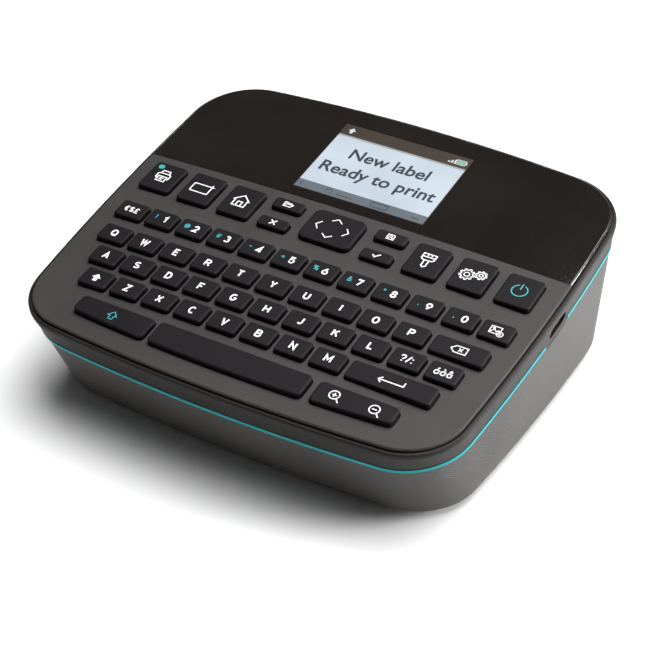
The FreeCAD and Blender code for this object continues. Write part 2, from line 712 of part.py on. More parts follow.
def key_cap(spec):
    u0, u1 = key_span(spec)
    top = KEY_PROUD - crown_drop((u0 + u1) / 2)
    lip_top = lip_level(spec)
    stem = key_blank(spec, 0.0, lip_top - 0.2, top)
    rim = [e for e in stem.Edges if e.BoundBox.ZMin > top - 0.01]
    stem = stem.makeFillet(KEY_ROUND, rim)
    lip = key_blank(spec, LIP + KEY_GAP, lip_top - LIP_T, lip_top)
    return stem.fuse(lip).removeSplitter()


def key_group(specs):
    caps = [tilted(key_cap(s)) for s in specs]
    return caps[0] if len(caps) == 1 else Part.makeCompound(caps)


def board_outline():
    return PLATE.inset(8.2)


def board_blank(w0, w1):
    sheet = board_outline().prism(w0, w1)
    sheet = sheet.common(box(-150, 150, -150, WINDOW_EDGE - 4.2, w0 - 1, w1 + 1))
    for u, v in screw_places():
        sheet = sheet.cut(rod(UPPER_POST_R + 1.0, 20, Vector(u, v, w0 - 10), Z_AXIS))
    return sheet.cut(stakes(w0 - 1, w1 + 1, SPIN_GAP))


def stakes(w0, w1, grow):
    """Pins under the keypad plate, mirrored left and right."""
    pins = [rod(STAKE_R + grow, w1 - w0, Vector(s * u, v, w0), Z_AXIS) for u, v in STAKES for s in (-1, 1)]
    return Part.makeCompound(pins)


MAT_LOW = -8.6
MAT_T = 0.8
BOARD_T = 1.6


def keypad_mat():
    """Silicone sheet with one dome under each key, two under the long ones."""
    sheet = board_blank(MAT_LOW, MAT_LOW + MAT_T)
    domes = []
    for spec in all_keys():
        u0, u1 = key_span(spec)
        v = ROW_SPACE + 1.0 if isinstance(spec, str) else (spec[2] + spec[3]) / 2
        count = 1 if u1 - u0 < 20 else 3 if u1 - u0 > 50 else 2
        top = lip_level(spec) - LIP_T - KEY_TRAVEL - 0.15
        for k in range(count):
            u = u0 + (u1 - u0) * (k + 0.5) / count
            domes.append(Part.makeCone(2.6, 1.9, top - MAT_LOW - MAT_T + 0.1,
                                       Vector(u, v, MAT_LOW + MAT_T - 0.1), Z_AXIS))
    return tilted(fused([sheet] + domes))


def keypad_board():
    return tilted(board_blank(MAT_LOW - BOARD_T, MAT_LOW))


# ---------------------------------------------------------------- electronics
USB = (7.3, 9.0, 3.2)
MAIN_TOP = PORT_W - USB[2] / 2


def main_board():
    board = pad(30.0, 90.5, -14.0, 33.0, MAIN_TOP - BOARD_T, MAIN_TOP, 2.0)
    chips = [box(44, 58, -4, 10, MAIN_TOP - BOARD_T - 1.4, MAIN_TOP - BOARD_T + 0.1),
             box(64, 72, 4, 12, MAIN_TOP - BOARD_T - 1.1, MAIN_TOP - BOARD_T + 0.1),
             box(36, 42, 16, 26, MAIN_TOP - BOARD_T - 6.0, MAIN_TOP - BOARD_T + 0.1)]
    return tilted(fused([board] + chips).cut(stakes(MAIN_TOP - BOARD_T - 1, MAIN_TOP + 1, SPIN_GAP)))


def usb_port():
    """Socket shell with its tongue, mouth to the right."""
    right = STRIP.half - 1.2
    r = USB[2] / 2

    def oval(x0, x1, shrink):
        core = box(x0, x1, PORT_V - USB[1] / 2 + r, PORT_V + USB[1] / 2 - r, PORT_W - r + shrink,
                   PORT_W + r - shrink)
        ends = [rod(r - shrink, x1 - x0, Vector(x0, PORT_V + s * (USB[1] / 2 - r), PORT_W), X_AXIS)
                for s in (-1, 1)]
        return fused([core] + ends)

    shell = oval(right - USB[0], right, 0.0).cut(oval(right - USB[0] + 1.0, right + 1.0, 0.35))
    tongue = box(right - USB[0] + 0.5, right - 1.0, PORT_V - 3.2, PORT_V + 3.2, PORT_W - 0.4, PORT_W + 0.4)
    return tilted(shell.fuse(tongue).removeSplitter())


def lcd_module():
    glass = box(-LCD_HALF, LCD_HALF, LCD_NEAR, LCD_FAR, -2.8, -0.3)
    frame = box(-LCD_HALF - 4, LCD_HALF + 4, LCD_NEAR - 3.6, LCD_FAR + 3.4, -6.2, -2.7)
    return tilted(fused([glass, frame]))


# ---------------------------------------------------------------- print unit
def mechanism_frame():
    """Chassis plate behind the cassette with a floor flange and the head carrier."""
    y0 = CHASSIS_Y
    plate = box(CUTTER_X - 4, 42.0, y0, y0 + CHASSIS_T, FLOOR + WALL + 2.0, 43.0)
    flange = box(CUTTER_X - 4, 42.0, y0, y0 + 3.2, FLOOR + WALL + 2.0, FLOOR + WALL + 4.0)
    carrier = box(PLATEN_X - 5.5, PLATEN_X + 5.5, y0, y0 + CASSETTE_DEEP + 2.0, 39.5, 42.0)
    body = fused([plate, flange, carrier])
    slot = box(CUTTER_X - 1.0, CUTTER_X + 1.0, y0 - 5, y0 + 5, LABEL_Z, 50.0)
    body = body.cut(slot)
    for x, z in ((PLATEN_X, PLATEN_Z), (RIBBON_X, RIBBON_Z)):
        body = body.cut(rod(SHAFT_R + SPIN_GAP, 20, Vector(x, y0 - 5, z), Y_AXIS))
    body = body.cut(rod(SHAFT_R, 20, Vector(IDLER_X, y0 - 5, IDLER_Z), Y_AXIS))
    body = body.cut(rod(PINION_R + 1.5, 20, Vector(PINION_X, y0 - 5, PINION_Z), Y_AXIS))
    return body


def chassis_feet():
    """Posts of the base that carry the chassis plate."""
    return [box(x - 4, x + 4, CHASSIS_Y - 1.5, CHASSIS_Y + 4.5, FLOOR + 1.0, FLOOR + WALL + 2.0)
            for x in (CUTTER_X + 3, -8.0, 34.0)]


def idler_post():
    pin = rod(SHAFT_R, GEAR_T + 1.3 + CHASSIS_T, Vector(IDLER_X, GEAR_Y - 0.3, IDLER_Z), Y_AXIS)
    head = rod(SHAFT_R + 1.0, 0.8, Vector(IDLER_X, GEAR_Y - 1.1, IDLER_Z), Y_AXIS)
    return fused([pin, head])


def gear_at(teeth, x, z, bore, phase, y=None, backlash=BACKLASH):
    g = gear(teeth, GEAR_T, bore, phase, backlash)
    g.translate(Vector(x, GEAR_Y if y is None else y, z))
    return g


def phase_from_idler(x, z, radius):
    direction = atan2(z - IDLER_Z, x - IDLER_X)
    return meshing_phase(IDLER_R, 0.0, IDLER_TEETH, direction, radius)


def idler_gear():
    return gear_at(IDLER_TEETH, IDLER_X, IDLER_Z, SHAFT_R + SPIN_GAP, 0.0)


def platen_gear():
    return gear_at(PLATEN_TEETH, PLATEN_X, PLATEN_Z, SHAFT_R,
                   phase_from_idler(PLATEN_X, PLATEN_Z, PLATEN_GEAR_R))


def platen_roller():
    """Steel shaft with its rubber sleeve."""
    length = GEAR_T + 1.0 + CHASSIS_T + CASSETTE_DEEP + 1.5
    shaft = rod(SHAFT_R, length, Vector(PLATEN_X, GEAR_Y, PLATEN_Z), Y_AXIS)
    sleeve = rod(PLATEN_R, 25.0, Vector(PLATEN_X, CASSETTE_Y + 0.8, PLATEN_Z), Y_AXIS)
    return fused([shaft, sleeve])


def ribbon_spindle():
    """Spindle with its own gear; six splines turn the cassette's take-up hub."""
    x, z = RIBBON_X, RIBBON_Z
    wheel = gear_at(RIBBON_TEETH, x, z, 0, phase_from_idler(x, z, RIBBON_R))
    shaft = rod(SHAFT_R, GEAR_T + 1.0 + CHASSIS_T + 8.0, Vector(x, GEAR_Y, z), Y_AXIS)
    nose = rod(2.2, 16.0, Vector(x, CASSETTE_Y + 1.0, z), Y_AXIS)
    teeth = []
    for k in range(6):
        fin = box(-0.4, 0.4, CASSETTE_Y + 1.5, CASSETTE_Y + 16.0, 1.8, 2.9)
        fin.rotate(Vector(0, 0, 0), Y_AXIS, 60.0 * k)
        fin.translate(Vector(x, 0, z))
        teeth.append(fin)
    return fused([wheel, shaft, nose] + teeth)


def feed_motor():
    can_len = 24.0
    y1 = GEAR_Y - 1.6
    can = rod(10.0, can_len, Vector(PINION_X, y1 - can_len, PINION_Z), Y_AXIS)
    flats = box(PINION_X - 10, PINION_X + 10, y1 - can_len - 1, y1 + 1, PINION_Z - 7.5, PINION_Z + 7.5)
    boss = rod(3.0, 0.8, Vector(PINION_X, y1 - 0.1, PINION_Z), Y_AXIS)
    return fused([can.common(flats), boss]).cut(
        rod(0.75 + SPIN_GAP, 12.0, Vector(PINION_X, y1 - 10.0, PINION_Z), Y_AXIS))


def motor_pinion():
    """Pinion on the motor shaft."""
    wheel = gear_at(PINION_TEETH, PINION_X, PINION_Z, 0, phase_from_idler(PINION_X, PINION_Z, PINION_R))
    shaft = rod(0.75, 11.0, Vector(PINION_X, GEAR_Y - 10.9, PINION_Z), Y_AXIS)
    return fused([wheel, shaft])


def tape_cassette():
    """Cassette case: hollow, with a hub hole, a roll post and an open printing mouth."""
    x = CASSETTE_HALF
    y0 = CASSETTE_Y
    y1 = CASSETTE_Y + CASSETTE_DEEP
    case = box(-x, x, y0, y1, CASSETTE_LOW, CASSETTE_TOP)
    long = [e for e in case.Edges if abs(e.tangentAt(e.FirstParameter).y) > 0.99]
    case = case.makeFillet(3.0, long)
    hollow = box(-x + 1.4, x - 1.4, y0 + 1.4, y1 - 1.4, CASSETTE_LOW + 1.4, CASSETTE_TOP - 1.4)
    case = case.cut(hollow)
    post = rod(3.0, CASSETTE_DEEP - 1.0, Vector(ROLL_X, y0 + 0.5, ROLL_Z), Y_AXIS)
    case = fused([case, post])
    case = case.cut(rod(3.6, 20.0, Vector(RIBBON_X, y0 - 5, RIBBON_Z), Y_AXIS))
    case = case.cut(box(-x - 1, -x + 6, y0 + 1.4, y1 - 1.4, LABEL_Z - 1.2, LABEL_Z + 1.2))
    window = pad_y(ROLL_X - 9, ROLL_X + 18, y1 - 2.0, y1 + 1.0, ROLL_Z - 4, ROLL_Z + 4, 2.0)
    grip = box(-12, 12, y1 - 0.8, y1 + 1, CASSETTE_TOP - 6.0, CASSETTE_TOP - 3.0)
    return case.cut(window.cut(rod(6.0, 5.0, Vector(ROLL_X, y1 - 3, ROLL_Z), Y_AXIS))).cut(grip)


def pad_y(x0, x1, y0, y1, z0, z1, corner):
    block = box(x0, x1, y0, y1, z0, z1)
    long = [e for e in block.Edges if abs(e.tangentAt(e.FirstParameter).y) > 0.99]
    return block.makeFillet(corner, long)


def tape_spool():
    """Wound label stock on its core."""
    y0 = CASSETTE_Y + 1.7
    length = CASSETTE_DEEP - 3.4
    roll = rod(ROLL_R, length, Vector(ROLL_X, y0, ROLL_Z), Y_AXIS)
    return roll.cut(rod(3.0 + SPIN_GAP, length + 2, Vector(ROLL_X, y0 - 1, ROLL_Z), Y_AXIS))


def print_head():
    """Heater plate on its heat sink, hanging from the head carrier above the platen."""
    y0 = CASSETTE_Y + 0.5
    plate = box(PLATEN_X - 3.0, PLATEN_X + 3.0, y0, y0 + 25.5, LABEL_Z + 0.35, LABEL_Z + 1.6)
    sink = box(PLATEN_X - 3.5, PLATEN_X + 3.5, y0, y0 + 25.5, LABEL_Z + 1.5, 39.5)
    for k in range(5):
        y = y0 + 3.0 + 4.5 * k
        sink = sink.cut(box(PLATEN_X - 5, PLATEN_X - 1.2, y, y + 2.0, LABEL_Z + 3.5, 38.0))
    return fused([plate, sink])


RACK_TEETH = 9
CUT_PINION_Z = 38.0
CUT_Y = GEAR_Y


def cutter_frame():
    """Two cheeks that guide the blade, joined above and below the label path."""
    y0 = CHASSIS_Y + CHASSIS_T
    y1 = CASSETTE_Y + CASSETTE_DEEP + 1.5
    z0 = LABEL_Z - 12.0
    z1 = LABEL_Z + 12.0
    block = box(CUTTER_X - 4.0, CUTTER_X + 4.0, y0, y1, z0, z1)
    slot = box(CUTTER_X - 0.8, CUTTER_X + 0.8, y0 - 1, y1 - 1.5, z0 + 2.0, z1 + 1.0)
    path = box(CUTTER_X - 9.0, CUTTER_X + 9.0, CASSETTE_Y + 0.4, y1 - 1.9, LABEL_Z - 1.6, LABEL_Z + 1.6)
    return block.cut(slot).cut(path)


def cutter_blade():
    """Guillotine blade on an arm that reaches through the chassis to a rack."""
    y1 = CASSETTE_Y + CASSETTE_DEEP - 0.5
    low = LABEL_Z + 2.0
    high = LABEL_Z + 11.0
    near = Vector(CUTTER_X - 0.5, CASSETTE_Y + 0.2, low + 1.2)
    far = Vector(CUTTER_X - 0.5, y1, low)
    top_far = Vector(CUTTER_X - 0.5, y1, high)
    top_near = Vector(CUTTER_X - 0.5, CASSETTE_Y + 0.2, high)
    blade = Part.Face(Part.makePolygon([near, far, top_far, top_near, near])).extrude(Vector(1.0, 0, 0))
    arm = box(CUTTER_X - 0.5, CUTTER_X + 0.5, CUT_Y, CASSETTE_Y + 1.0, LABEL_Z + 6.0, high)
    return fused([blade, arm, cutter_rack()])


def cutter_rack():
    """Rack with straight-sided teeth facing -X, beside the cutter pinion."""
    p = pi * MODULE
    tip = 0.85 * MODULE
    root = 1.2 * MODULE
    half = p / 4 - BACKLASH / 2
    x = CUTTER_X - 0.5
    z_start = CUT_PINION_Z - p * (RACK_TEETH // 2)
    points = [(x + 1.0, z_start - p / 2), (x, z_start - p / 2)]
    slant = tan(radians(20))
    tip_x = x - tip - root
    for n in range(RACK_TEETH):
        zc = z_start + p * n
        points.append((x, zc - half - root * slant))
        points.append((tip_x, zc - half + tip * slant))
        points.append((tip_x, zc + half - tip * slant))
        points.append((x, zc + half + root * slant))
    z_end = z_start + p * (RACK_TEETH - 0.5)
    points += [(x, z_end), (x + 1.0, z_end)]
    corners = [Vector(px, CUT_Y, pz) for px, pz in points]
    return Part.Face(Part.makePolygon(corners + corners[:1])).extrude(Vector(0, GEAR_T, 0))


def cut_pinion_x():
    return CUTTER_X - 0.5 - 1.2 * MODULE - PINION_R


def cutter_pinion():
    """Pinion of the cutter motor; a gap faces the rack's middle tooth."""
    wheel = gear_at(PINION_TEETH, cut_pinion_x(), CUT_PINION_Z, 0, pi / PINION_TEETH)
    shaft = rod(0.75, 11.0, Vector(cut_pinion_x(), GEAR_Y - 10.9, CUT_PINION_Z), Y_AXIS)
    return fused([wheel, shaft])


def cutter_motor():
    length = 18.0
    y1 = GEAR_Y - 1.6
    x = cut_pinion_x()
    can = rod(7.5, length, Vector(x, y1 - length, CUT_PINION_Z), Y_AXIS)
    flats = box(x - 7.5, x + 7.5, y1 - length - 1, y1 + 1, CUT_PINION_Z - 6, CUT_PINION_Z + 6)
    boss = rod(2.4, 0.8, Vector(x, y1 - 0.1, CUT_PINION_Z), Y_AXIS)
    return fused([can.common(flats), boss]).cut(
        rod(0.75 + SPIN_GAP, 12.0, Vector(x, y1 - 10.0, CUT_PINION_Z), Y_AXIS))


# ---------------------------------------------------------------- write everything
def write(shape, name, shift):
    out = shape.copy()
    out.translate(shift)
    out.exportStep("parts/" + name + ".step")


def main():
    os.makedirs("parts", exist_ok=True)
    upper = upper_housing()
    shift = Vector(0, -upper.optimalBoundingBox(False, False).Center.y, 0)
    makers = [lower_housing, accent_strip, keypad_plate_placed, display_window_placed, lcd_module,
              rubber_feet, housing_screws, keypad_mat, keypad_board, main_board, usb_port,
              battery_pack, battery_cover, cassette_door, door_hinge_pin, mechanism_frame,
              tape_cassette, tape_spool, ribbon_spindle, print_head, platen_roller, platen_gear,
              idler_gear, idler_post, feed_motor, motor_pinion, cutter_frame, cutter_blade,
              cutter_motor, cutter_pinion, exit_bezel]
    write(upper, "upper_housing", shift)
    for maker in makers:
        write(maker(), maker.__name__.replace("_placed", ""), shift)
    for name, specs in key_table().items():
        write(key_group(specs), name, shift)
    for name in bottom_keys():
        write(key_group([name]), name, shift)


def keypad_plate_placed():
    return tilted(keypad_plate())


def display_window_placed():
    return tilted(display_window())


main()
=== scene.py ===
import json
import math

import bmesh
import bpy
import numpy as np
from mathutils import Matrix, Vector


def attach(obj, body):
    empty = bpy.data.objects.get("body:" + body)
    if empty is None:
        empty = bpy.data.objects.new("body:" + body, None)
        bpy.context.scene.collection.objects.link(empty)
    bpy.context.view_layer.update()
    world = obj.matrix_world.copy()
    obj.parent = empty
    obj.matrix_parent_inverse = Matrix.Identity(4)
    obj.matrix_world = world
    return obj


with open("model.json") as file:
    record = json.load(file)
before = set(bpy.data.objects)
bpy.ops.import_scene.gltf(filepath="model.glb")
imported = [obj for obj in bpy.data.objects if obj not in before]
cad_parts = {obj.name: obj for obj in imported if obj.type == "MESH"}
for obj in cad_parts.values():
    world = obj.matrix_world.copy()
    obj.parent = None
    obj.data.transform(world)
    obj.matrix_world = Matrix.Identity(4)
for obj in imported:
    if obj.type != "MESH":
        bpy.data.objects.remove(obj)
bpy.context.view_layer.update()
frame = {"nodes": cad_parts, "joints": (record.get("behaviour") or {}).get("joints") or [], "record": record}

NODES = frame["nodes"]
MM = 0.001


# ---------------------------------------------------------------- materials
def new_material(name):
    mat = bpy.data.materials.new(name)
    mat.use_nodes = True
    shader = mat.node_tree.nodes["Principled BSDF"]
    return mat, mat.node_tree, shader


def texture_coordinates(tree, scale=1.0):
    coords = tree.nodes.new("ShaderNodeTexCoord")
    mapping = tree.nodes.new("ShaderNodeMapping")
    mapping.inputs["Scale"].default_value = (scale, scale, scale)
    tree.links.new(coords.outputs["Object"], mapping.inputs["Vector"])
    return mapping.outputs["Vector"]


def noise(tree, vector, scale, detail=3.0, rough=0.55):
    node = tree.nodes.new("ShaderNodeTexNoise")
    node.inputs["Scale"].default_value = scale
    node.inputs["Detail"].default_value = detail
    node.inputs["Roughness"].default_value = rough
    tree.links.new(vector, node.inputs["Vector"])
    return node.outputs["Fac"]


def remap(tree, value, low, high, start=0.3, stop=0.7):
    node = tree.nodes.new("ShaderNodeMapRange")
    node.inputs["From Min"].default_value = start
    node.inputs["From Max"].default_value = stop
    node.inputs["To Min"].default_value = low
    node.inputs["To Max"].default_value = high
    tree.links.new(value, node.inputs["Value"])
    return node.outputs["Result"]


def blend_colours(tree, value, dark, light, start=0.35, stop=0.65):
    ramp = tree.nodes.new("ShaderNodeValToRGB")
    ramp.color_ramp.elements[0].position = start
    ramp.color_ramp.elements[0].color = (*dark, 1)
    ramp.color_ramp.elements[1].position = stop
    ramp.color_ramp.elements[1].color = (*light, 1)
    tree.links.new(value, ramp.inputs["Fac"])
    return ramp.outputs["Color"]


def bump(tree, height, strength, distance):
    node = tree.nodes.new("ShaderNodeBump")
    node.inputs["Strength"].default_value = strength
    node.inputs["Distance"].default_value = distance
    tree.links.new(height, node.inputs["Height"])
    return node.outputs["Normal"]


def shade(colour, factor):
    return tuple(min(1.0, c * factor) for c in colour)


def moulded(name, colour, rough, grain=2600.0, grain_depth=0.00002, strength=0.35, mottle=0.08,
            coat=0.0, specular=0.5):
    """Moulded plastic: fine spark grain, slow tone drift and slightly uneven gloss."""
    mat, tree, shader = new_material(name)
    where = texture_coordinates(tree)
    slow = noise(tree, where, 38.0, 4.0)
    fine = noise(tree, where, grain, 2.0, 0.6)
    tree.links.new(blend_colours(tree, slow, shade(colour, 1 - mottle), shade(colour, 1 + mottle)),
                   shader.inputs["Base Color"])
    tree.links.new(remap(tree, slow, rough - 0.04, rough + 0.05), shader.inputs["Roughness"])
    tree.links.new(bump(tree, fine, strength, grain_depth), shader.inputs["Normal"])
    shader.inputs["Coat Weight"].default_value = coat
    shader.inputs["Coat Roughness"].default_value = 0.08
    shader.inputs["Specular IOR Level"].default_value = specular
    return mat


def glossy_panel(name, colour):
    """Back-painted acrylic: dark, mirror smooth, with faint orange peel and dust."""
    mat, tree, shader = new_material(name)
    where = texture_coordinates(tree)
    slow = noise(tree, where, 22.0, 3.0)
    dust = noise(tree, where, 900.0, 2.0, 0.7)
    tree.links.new(blend_colours(tree, slow, shade(colour, 0.85), shade(colour, 1.15)),
                   shader.inputs["Base Color"])
    tree.links.new(remap(tree, dust, 0.05, 0.13, 0.45, 0.85), shader.inputs["Roughness"])
    tree.links.new(bump(tree, noise(tree, where, 120.0, 1.0), 0.05, 0.00003), shader.inputs["Normal"])
    shader.inputs["Coat Weight"].default_value = 0.6
    shader.inputs["Coat Roughness"].default_value = 0.04
    return mat


def metal(name, colour, rough, stretch=(1.0, 12.0, 1.0)):
    """Turned or drawn metal with fine lines along one way."""
    mat, tree, shader = new_material(name)
    coords = tree.nodes.new("ShaderNodeTexCoord")
    mapping = tree.nodes.new("ShaderNodeMapping")
    mapping.inputs["Scale"].default_value = stretch
    tree.links.new(coords.outputs["Object"], mapping.inputs["Vector"])
    lines = noise(tree, mapping.outputs["Vector"], 700.0, 3.0, 0.7)
    tree.links.new(blend_colours(tree, lines, shade(colour, 0.85), shade(colour, 1.1)),
                   shader.inputs["Base Color"])
    tree.links.new(remap(tree, lines, rough - 0.07, rough + 0.08), shader.inputs["Roughness"])
    tree.links.new(bump(tree, lines, 0.2, 0.00001), shader.inputs["Normal"])
    shader.inputs["Metallic"].default_value = 1.0
    return mat


def circuit_board(name):
    """Solder mask with copper tracks showing through as slightly lighter lines."""
    mat, tree, shader = new_material(name)
    where = texture_coordinates(tree)
    cells = tree.nodes.new("ShaderNodeTexVoronoi")
    cells.feature = "DISTANCE_TO_EDGE"
    cells.inputs["Scale"].default_value = 260.0
    tree.links.new(where, cells.inputs["Vector"])
    colour = blend_colours(tree, cells.outputs["Distance"], (0.035, 0.2, 0.09), (0.012, 0.095, 0.04),
                           0.02, 0.06)
    tree.links.new(colour, shader.inputs["Base Color"])
    tree.links.new(remap(tree, noise(tree, where, 60.0), 0.28, 0.42), shader.inputs["Roughness"])
    tree.links.new(bump(tree, cells.outputs["Distance"], 0.3, 0.00004), shader.inputs["Normal"])
    return mat


def printed_ink(name, colour, rough=0.5):
    """Screen-printed legend ink: nearly even, with a little grain."""
    mat, tree, shader = new_material(name)
    where = texture_coordinates(tree)
    grain = noise(tree, where, 4200.0, 2.0, 0.6)
    tree.links.new(blend_colours(tree, grain, shade(colour, 0.93), shade(colour, 1.04)),
                   shader.inputs["Base Color"])
    tree.links.new(remap(tree, grain, rough - 0.05, rough + 0.07), shader.inputs["Roughness"])
    tree.links.new(bump(tree, grain, 0.15, 0.00001), shader.inputs["Normal"])
    return mat


def lit_display(name, colour, strength, edge_glow=0.12):
    """Backlit display area: pixel rows, slightly uneven backlight."""
    mat, tree, shader = new_material(name)
    where = texture_coordinates(tree)
    slow = noise(tree, where, 26.0, 2.0)
    pixels = tree.nodes.new("ShaderNodeTexWave")
    pixels.wave_type = "BANDS"
    pixels.bands_direction = "X"
    pixels.inputs["Scale"].default_value = 1500.0
    tree.links.new(where, pixels.inputs["Vector"])
    glow = blend_colours(tree, slow, shade(colour, 1 - edge_glow), shade(colour, 1.0), 0.2, 0.8)
    tree.links.new(blend_colours(tree, slow, shade(colour, 0.15), shade(colour, 0.22)),
                   shader.inputs["Base Color"])
    tree.links.new(glow, shader.inputs["Emission Color"])
    shader.inputs["Emission Strength"].default_value = strength
    tree.links.new(remap(tree, pixels.outputs["Fac"], 0.18, 0.26, 0.0, 1.0), shader.inputs["Roughness"])
    tree.links.new(bump(tree, pixels.outputs["Fac"], 0.05, 0.000005), shader.inputs["Normal"])
    return mat


def rubber(name, colour):
    return moulded(name, colour, 0.82, grain=1500.0, grain_depth=0.00004, strength=0.5, specular=0.3)


KEY_COLOUR = (0.0085, 0.0072, 0.0085)
PLATE_COLOUR = (0.043, 0.039, 0.039)
BAND_COLOUR = (0.020, 0.018, 0.017)
BASE_COLOUR = (0.049, 0.047, 0.044)

KEY = moulded("key_plastic", KEY_COLOUR, 0.5, grain=3200.0, strength=0.25, specular=0.1)
PLATE = moulded("plate_plastic", PLATE_COLOUR, 0.46, grain=3000.0, strength=0.22, specular=0.14)
BAND = moulded("band_plastic", BAND_COLOUR, 0.46, grain=3000.0, strength=0.22, specular=0.12)
BASE = moulded("base_plastic", BASE_COLOUR, 0.52, grain=2200.0, strength=0.45, specular=0.35)
COVER = moulded("cover_plastic", BASE_COLOUR, 0.54, grain=2200.0, strength=0.45, specular=0.35)
WINDOW = glossy_panel("window_gloss", (0.0095, 0.0075, 0.0065))
ACCENT = moulded("accent_plastic", (0.005, 0.28, 0.31), 0.4, grain=1800.0, strength=0.1, specular=0.2)
WHITE_INK = printed_ink("white_ink", (0.85, 0.85, 0.86))
TEAL_INK = printed_ink("teal_ink", (0.02, 0.30, 0.33))
SCREEN = lit_display("lcd_glass", (0.70, 0.80, 0.90), 0.62)
SCREEN_BAR = lit_display("lcd_bar", (0.17, 0.20, 0.23), 0.7)
SCREEN_TOP = lit_display("lcd_top_bar", (0.075, 0.055, 0.045), 0.7)
SCREEN_LINE = lit_display("lcd_rule", (0.42, 0.43, 0.46), 0.7)
SCREEN_INK = lit_display("lcd_ink", (0.08, 0.10, 0.13), 0.4)
SCREEN_PALE = lit_display("lcd_pale_ink", (0.75, 0.78, 0.80), 0.8)
SCREEN_GREEN = lit_display("lcd_green", (0.25, 0.62, 0.42), 0.7)
FEET = rubber("feet_rubber", (0.022, 0.022, 0.023))
ROLLER = rubber("platen_rubber", (0.03, 0.03, 0.032))
SILICONE = moulded("silicone", (0.22, 0.22, 0.23), 0.6, grain=900.0, strength=0.15)
BOARD = circuit_board("board")
STEEL = metal("steel", (0.52, 0.52, 0.53), 0.32)
BRIGHT = metal("bright_steel", (0.62, 0.62, 0.63), 0.24, (12.0, 1.0, 1.0))
ALUMINIUM = metal("head_aluminium", (0.68, 0.68, 0.69), 0.34)
CAN = metal("motor_can", (0.5, 0.5, 0.51), 0.28, (1.0, 1.0, 12.0))
BRASS = metal("pinion_brass", (0.72, 0.52, 0.2), 0.3)
ACETAL = moulded("gear_plastic", (0.72, 0.70, 0.63), 0.42, grain=1400.0, strength=0.2)
PACK = moulded("battery_shell", (0.03, 0.03, 0.034), 0.38, grain=700.0, strength=0.15)
CASE = moulded("cassette_plastic", (0.42, 0.43, 0.44), 0.45, grain=2000.0, strength=0.3)
STOCK = moulded("label_stock", (0.78, 0.78, 0.75), 0.6, grain=5200.0, strength=0.4)
FRAME_PLASTIC = moulded("frame_plastic", (0.03, 0.03, 0.032), 0.5, grain=2200.0, strength=0.35)

FINISH = {"key_plastic": KEY, "plate_plastic": PLATE, "band_plastic": BAND, "base_plastic": BASE,
          "cover_plastic": COVER, "window_gloss": WINDOW, "accent_plastic": ACCENT,
          "lcd_glass": SCREEN_TOP, "feet_rubber": FEET, "platen_rubber": ROLLER,
          "silicone": SILICONE, "board": BOARD, "steel": STEEL, "bright_steel": BRIGHT,
          "head_aluminium": ALUMINIUM, "motor_can": CAN, "pinion_brass": BRASS,
          "gear_plastic": ACETAL, "battery_shell": PACK, "cassette_plastic": CASE,
          "label_stock": STOCK, "frame_plastic": FRAME_PLASTIC}


def dress_nodes():
    """Every CAD node gets the material of its record slot."""
    for part in frame["record"]["subparts"]:
        mesh = NODES[part["node"]].data
        mesh.materials.clear()
        mesh.materials.append(FINISH[part["material_slot"]])


# ---------------------------------------------------------------- deck frame
KEY_JOINT = next(j for j in frame["joints"] if j["name"] == "key_space_press")
UP = -Vector(KEY_JOINT["axis"]).normalized()
BACK = Vector((0.0, UP.z, -UP.y))
RIGHT = Vector((1.0, 0.0, 0.0))


def deck_coordinates(node):
    """A node's vertices as (right, back, up) along the deck, in metres."""
    mesh = NODES[node].data
    flat = np.zeros(len(mesh.vertices) * 3, np.float64)
    mesh.vertices.foreach_get("co", flat)
    return flat.reshape(-1, 3) @ np.array([RIGHT, BACK, UP]).T


DECK_ZERO = float(deck_coordinates("keypad_plate")[:, 2].max())
STRIP_LOW = float(deck_coordinates("accent_strip")[:, 2].min()) / UP.z
CAP_SINK = 0.001           # vertices this far below the deck still belong to a key's cap
CAP_GAP = 0.0015           # a gap between two groups of a key node's vertices
CAP_WIDEST = 0.0135        # groups within this width are one letter key


def on_deck(u, v, w=0.0):
    """World point of a deck position in metres, w above the flat reference of the plates."""
    return RIGHT * u + BACK * v + UP * (w + DECK_ZERO)


class Cap:
    """Top face of one key: its centre and its height above the flat deck reference."""

    def __init__(self, pts):
        low = pts.min(axis=0)
        high = pts.max(axis=0)
        self.u = (low[0] + high[0]) / 2
        self.v = (low[1] + high[1]) / 2
        self.top = high[2] - DECK_ZERO


def caps_of(node):
    """Caps of a key node from left to right."""
    pts = deck_coordinates(node)
    pts = pts[pts[:, 2] > DECK_ZERO - CAP_SINK]
    pts = pts[np.argsort(pts[:, 0])]
    gaps = np.where(np.diff(pts[:, 0]) > CAP_GAP)[0] + 1
    groups = np.split(pts, gaps)
    merged = [groups[0]]
    for g in groups[1:]:
        last = merged[-1]
        if node.endswith("keys") or node.startswith("letter_keys"):
            wide = max(last[:, 0].max(), g[:, 0].max()) - last[:, 0].min()
            if wide < CAP_WIDEST:
                merged[-1] = np.vstack([last, g])
                continue
            merged.append(g)
        else:
            merged[-1] = np.vstack([last, g])
    return [Cap(m) for m in merged]


# ---------------------------------------------------------------- drawing on the deck
INK_T = 0.00006            # thickness of printed ink


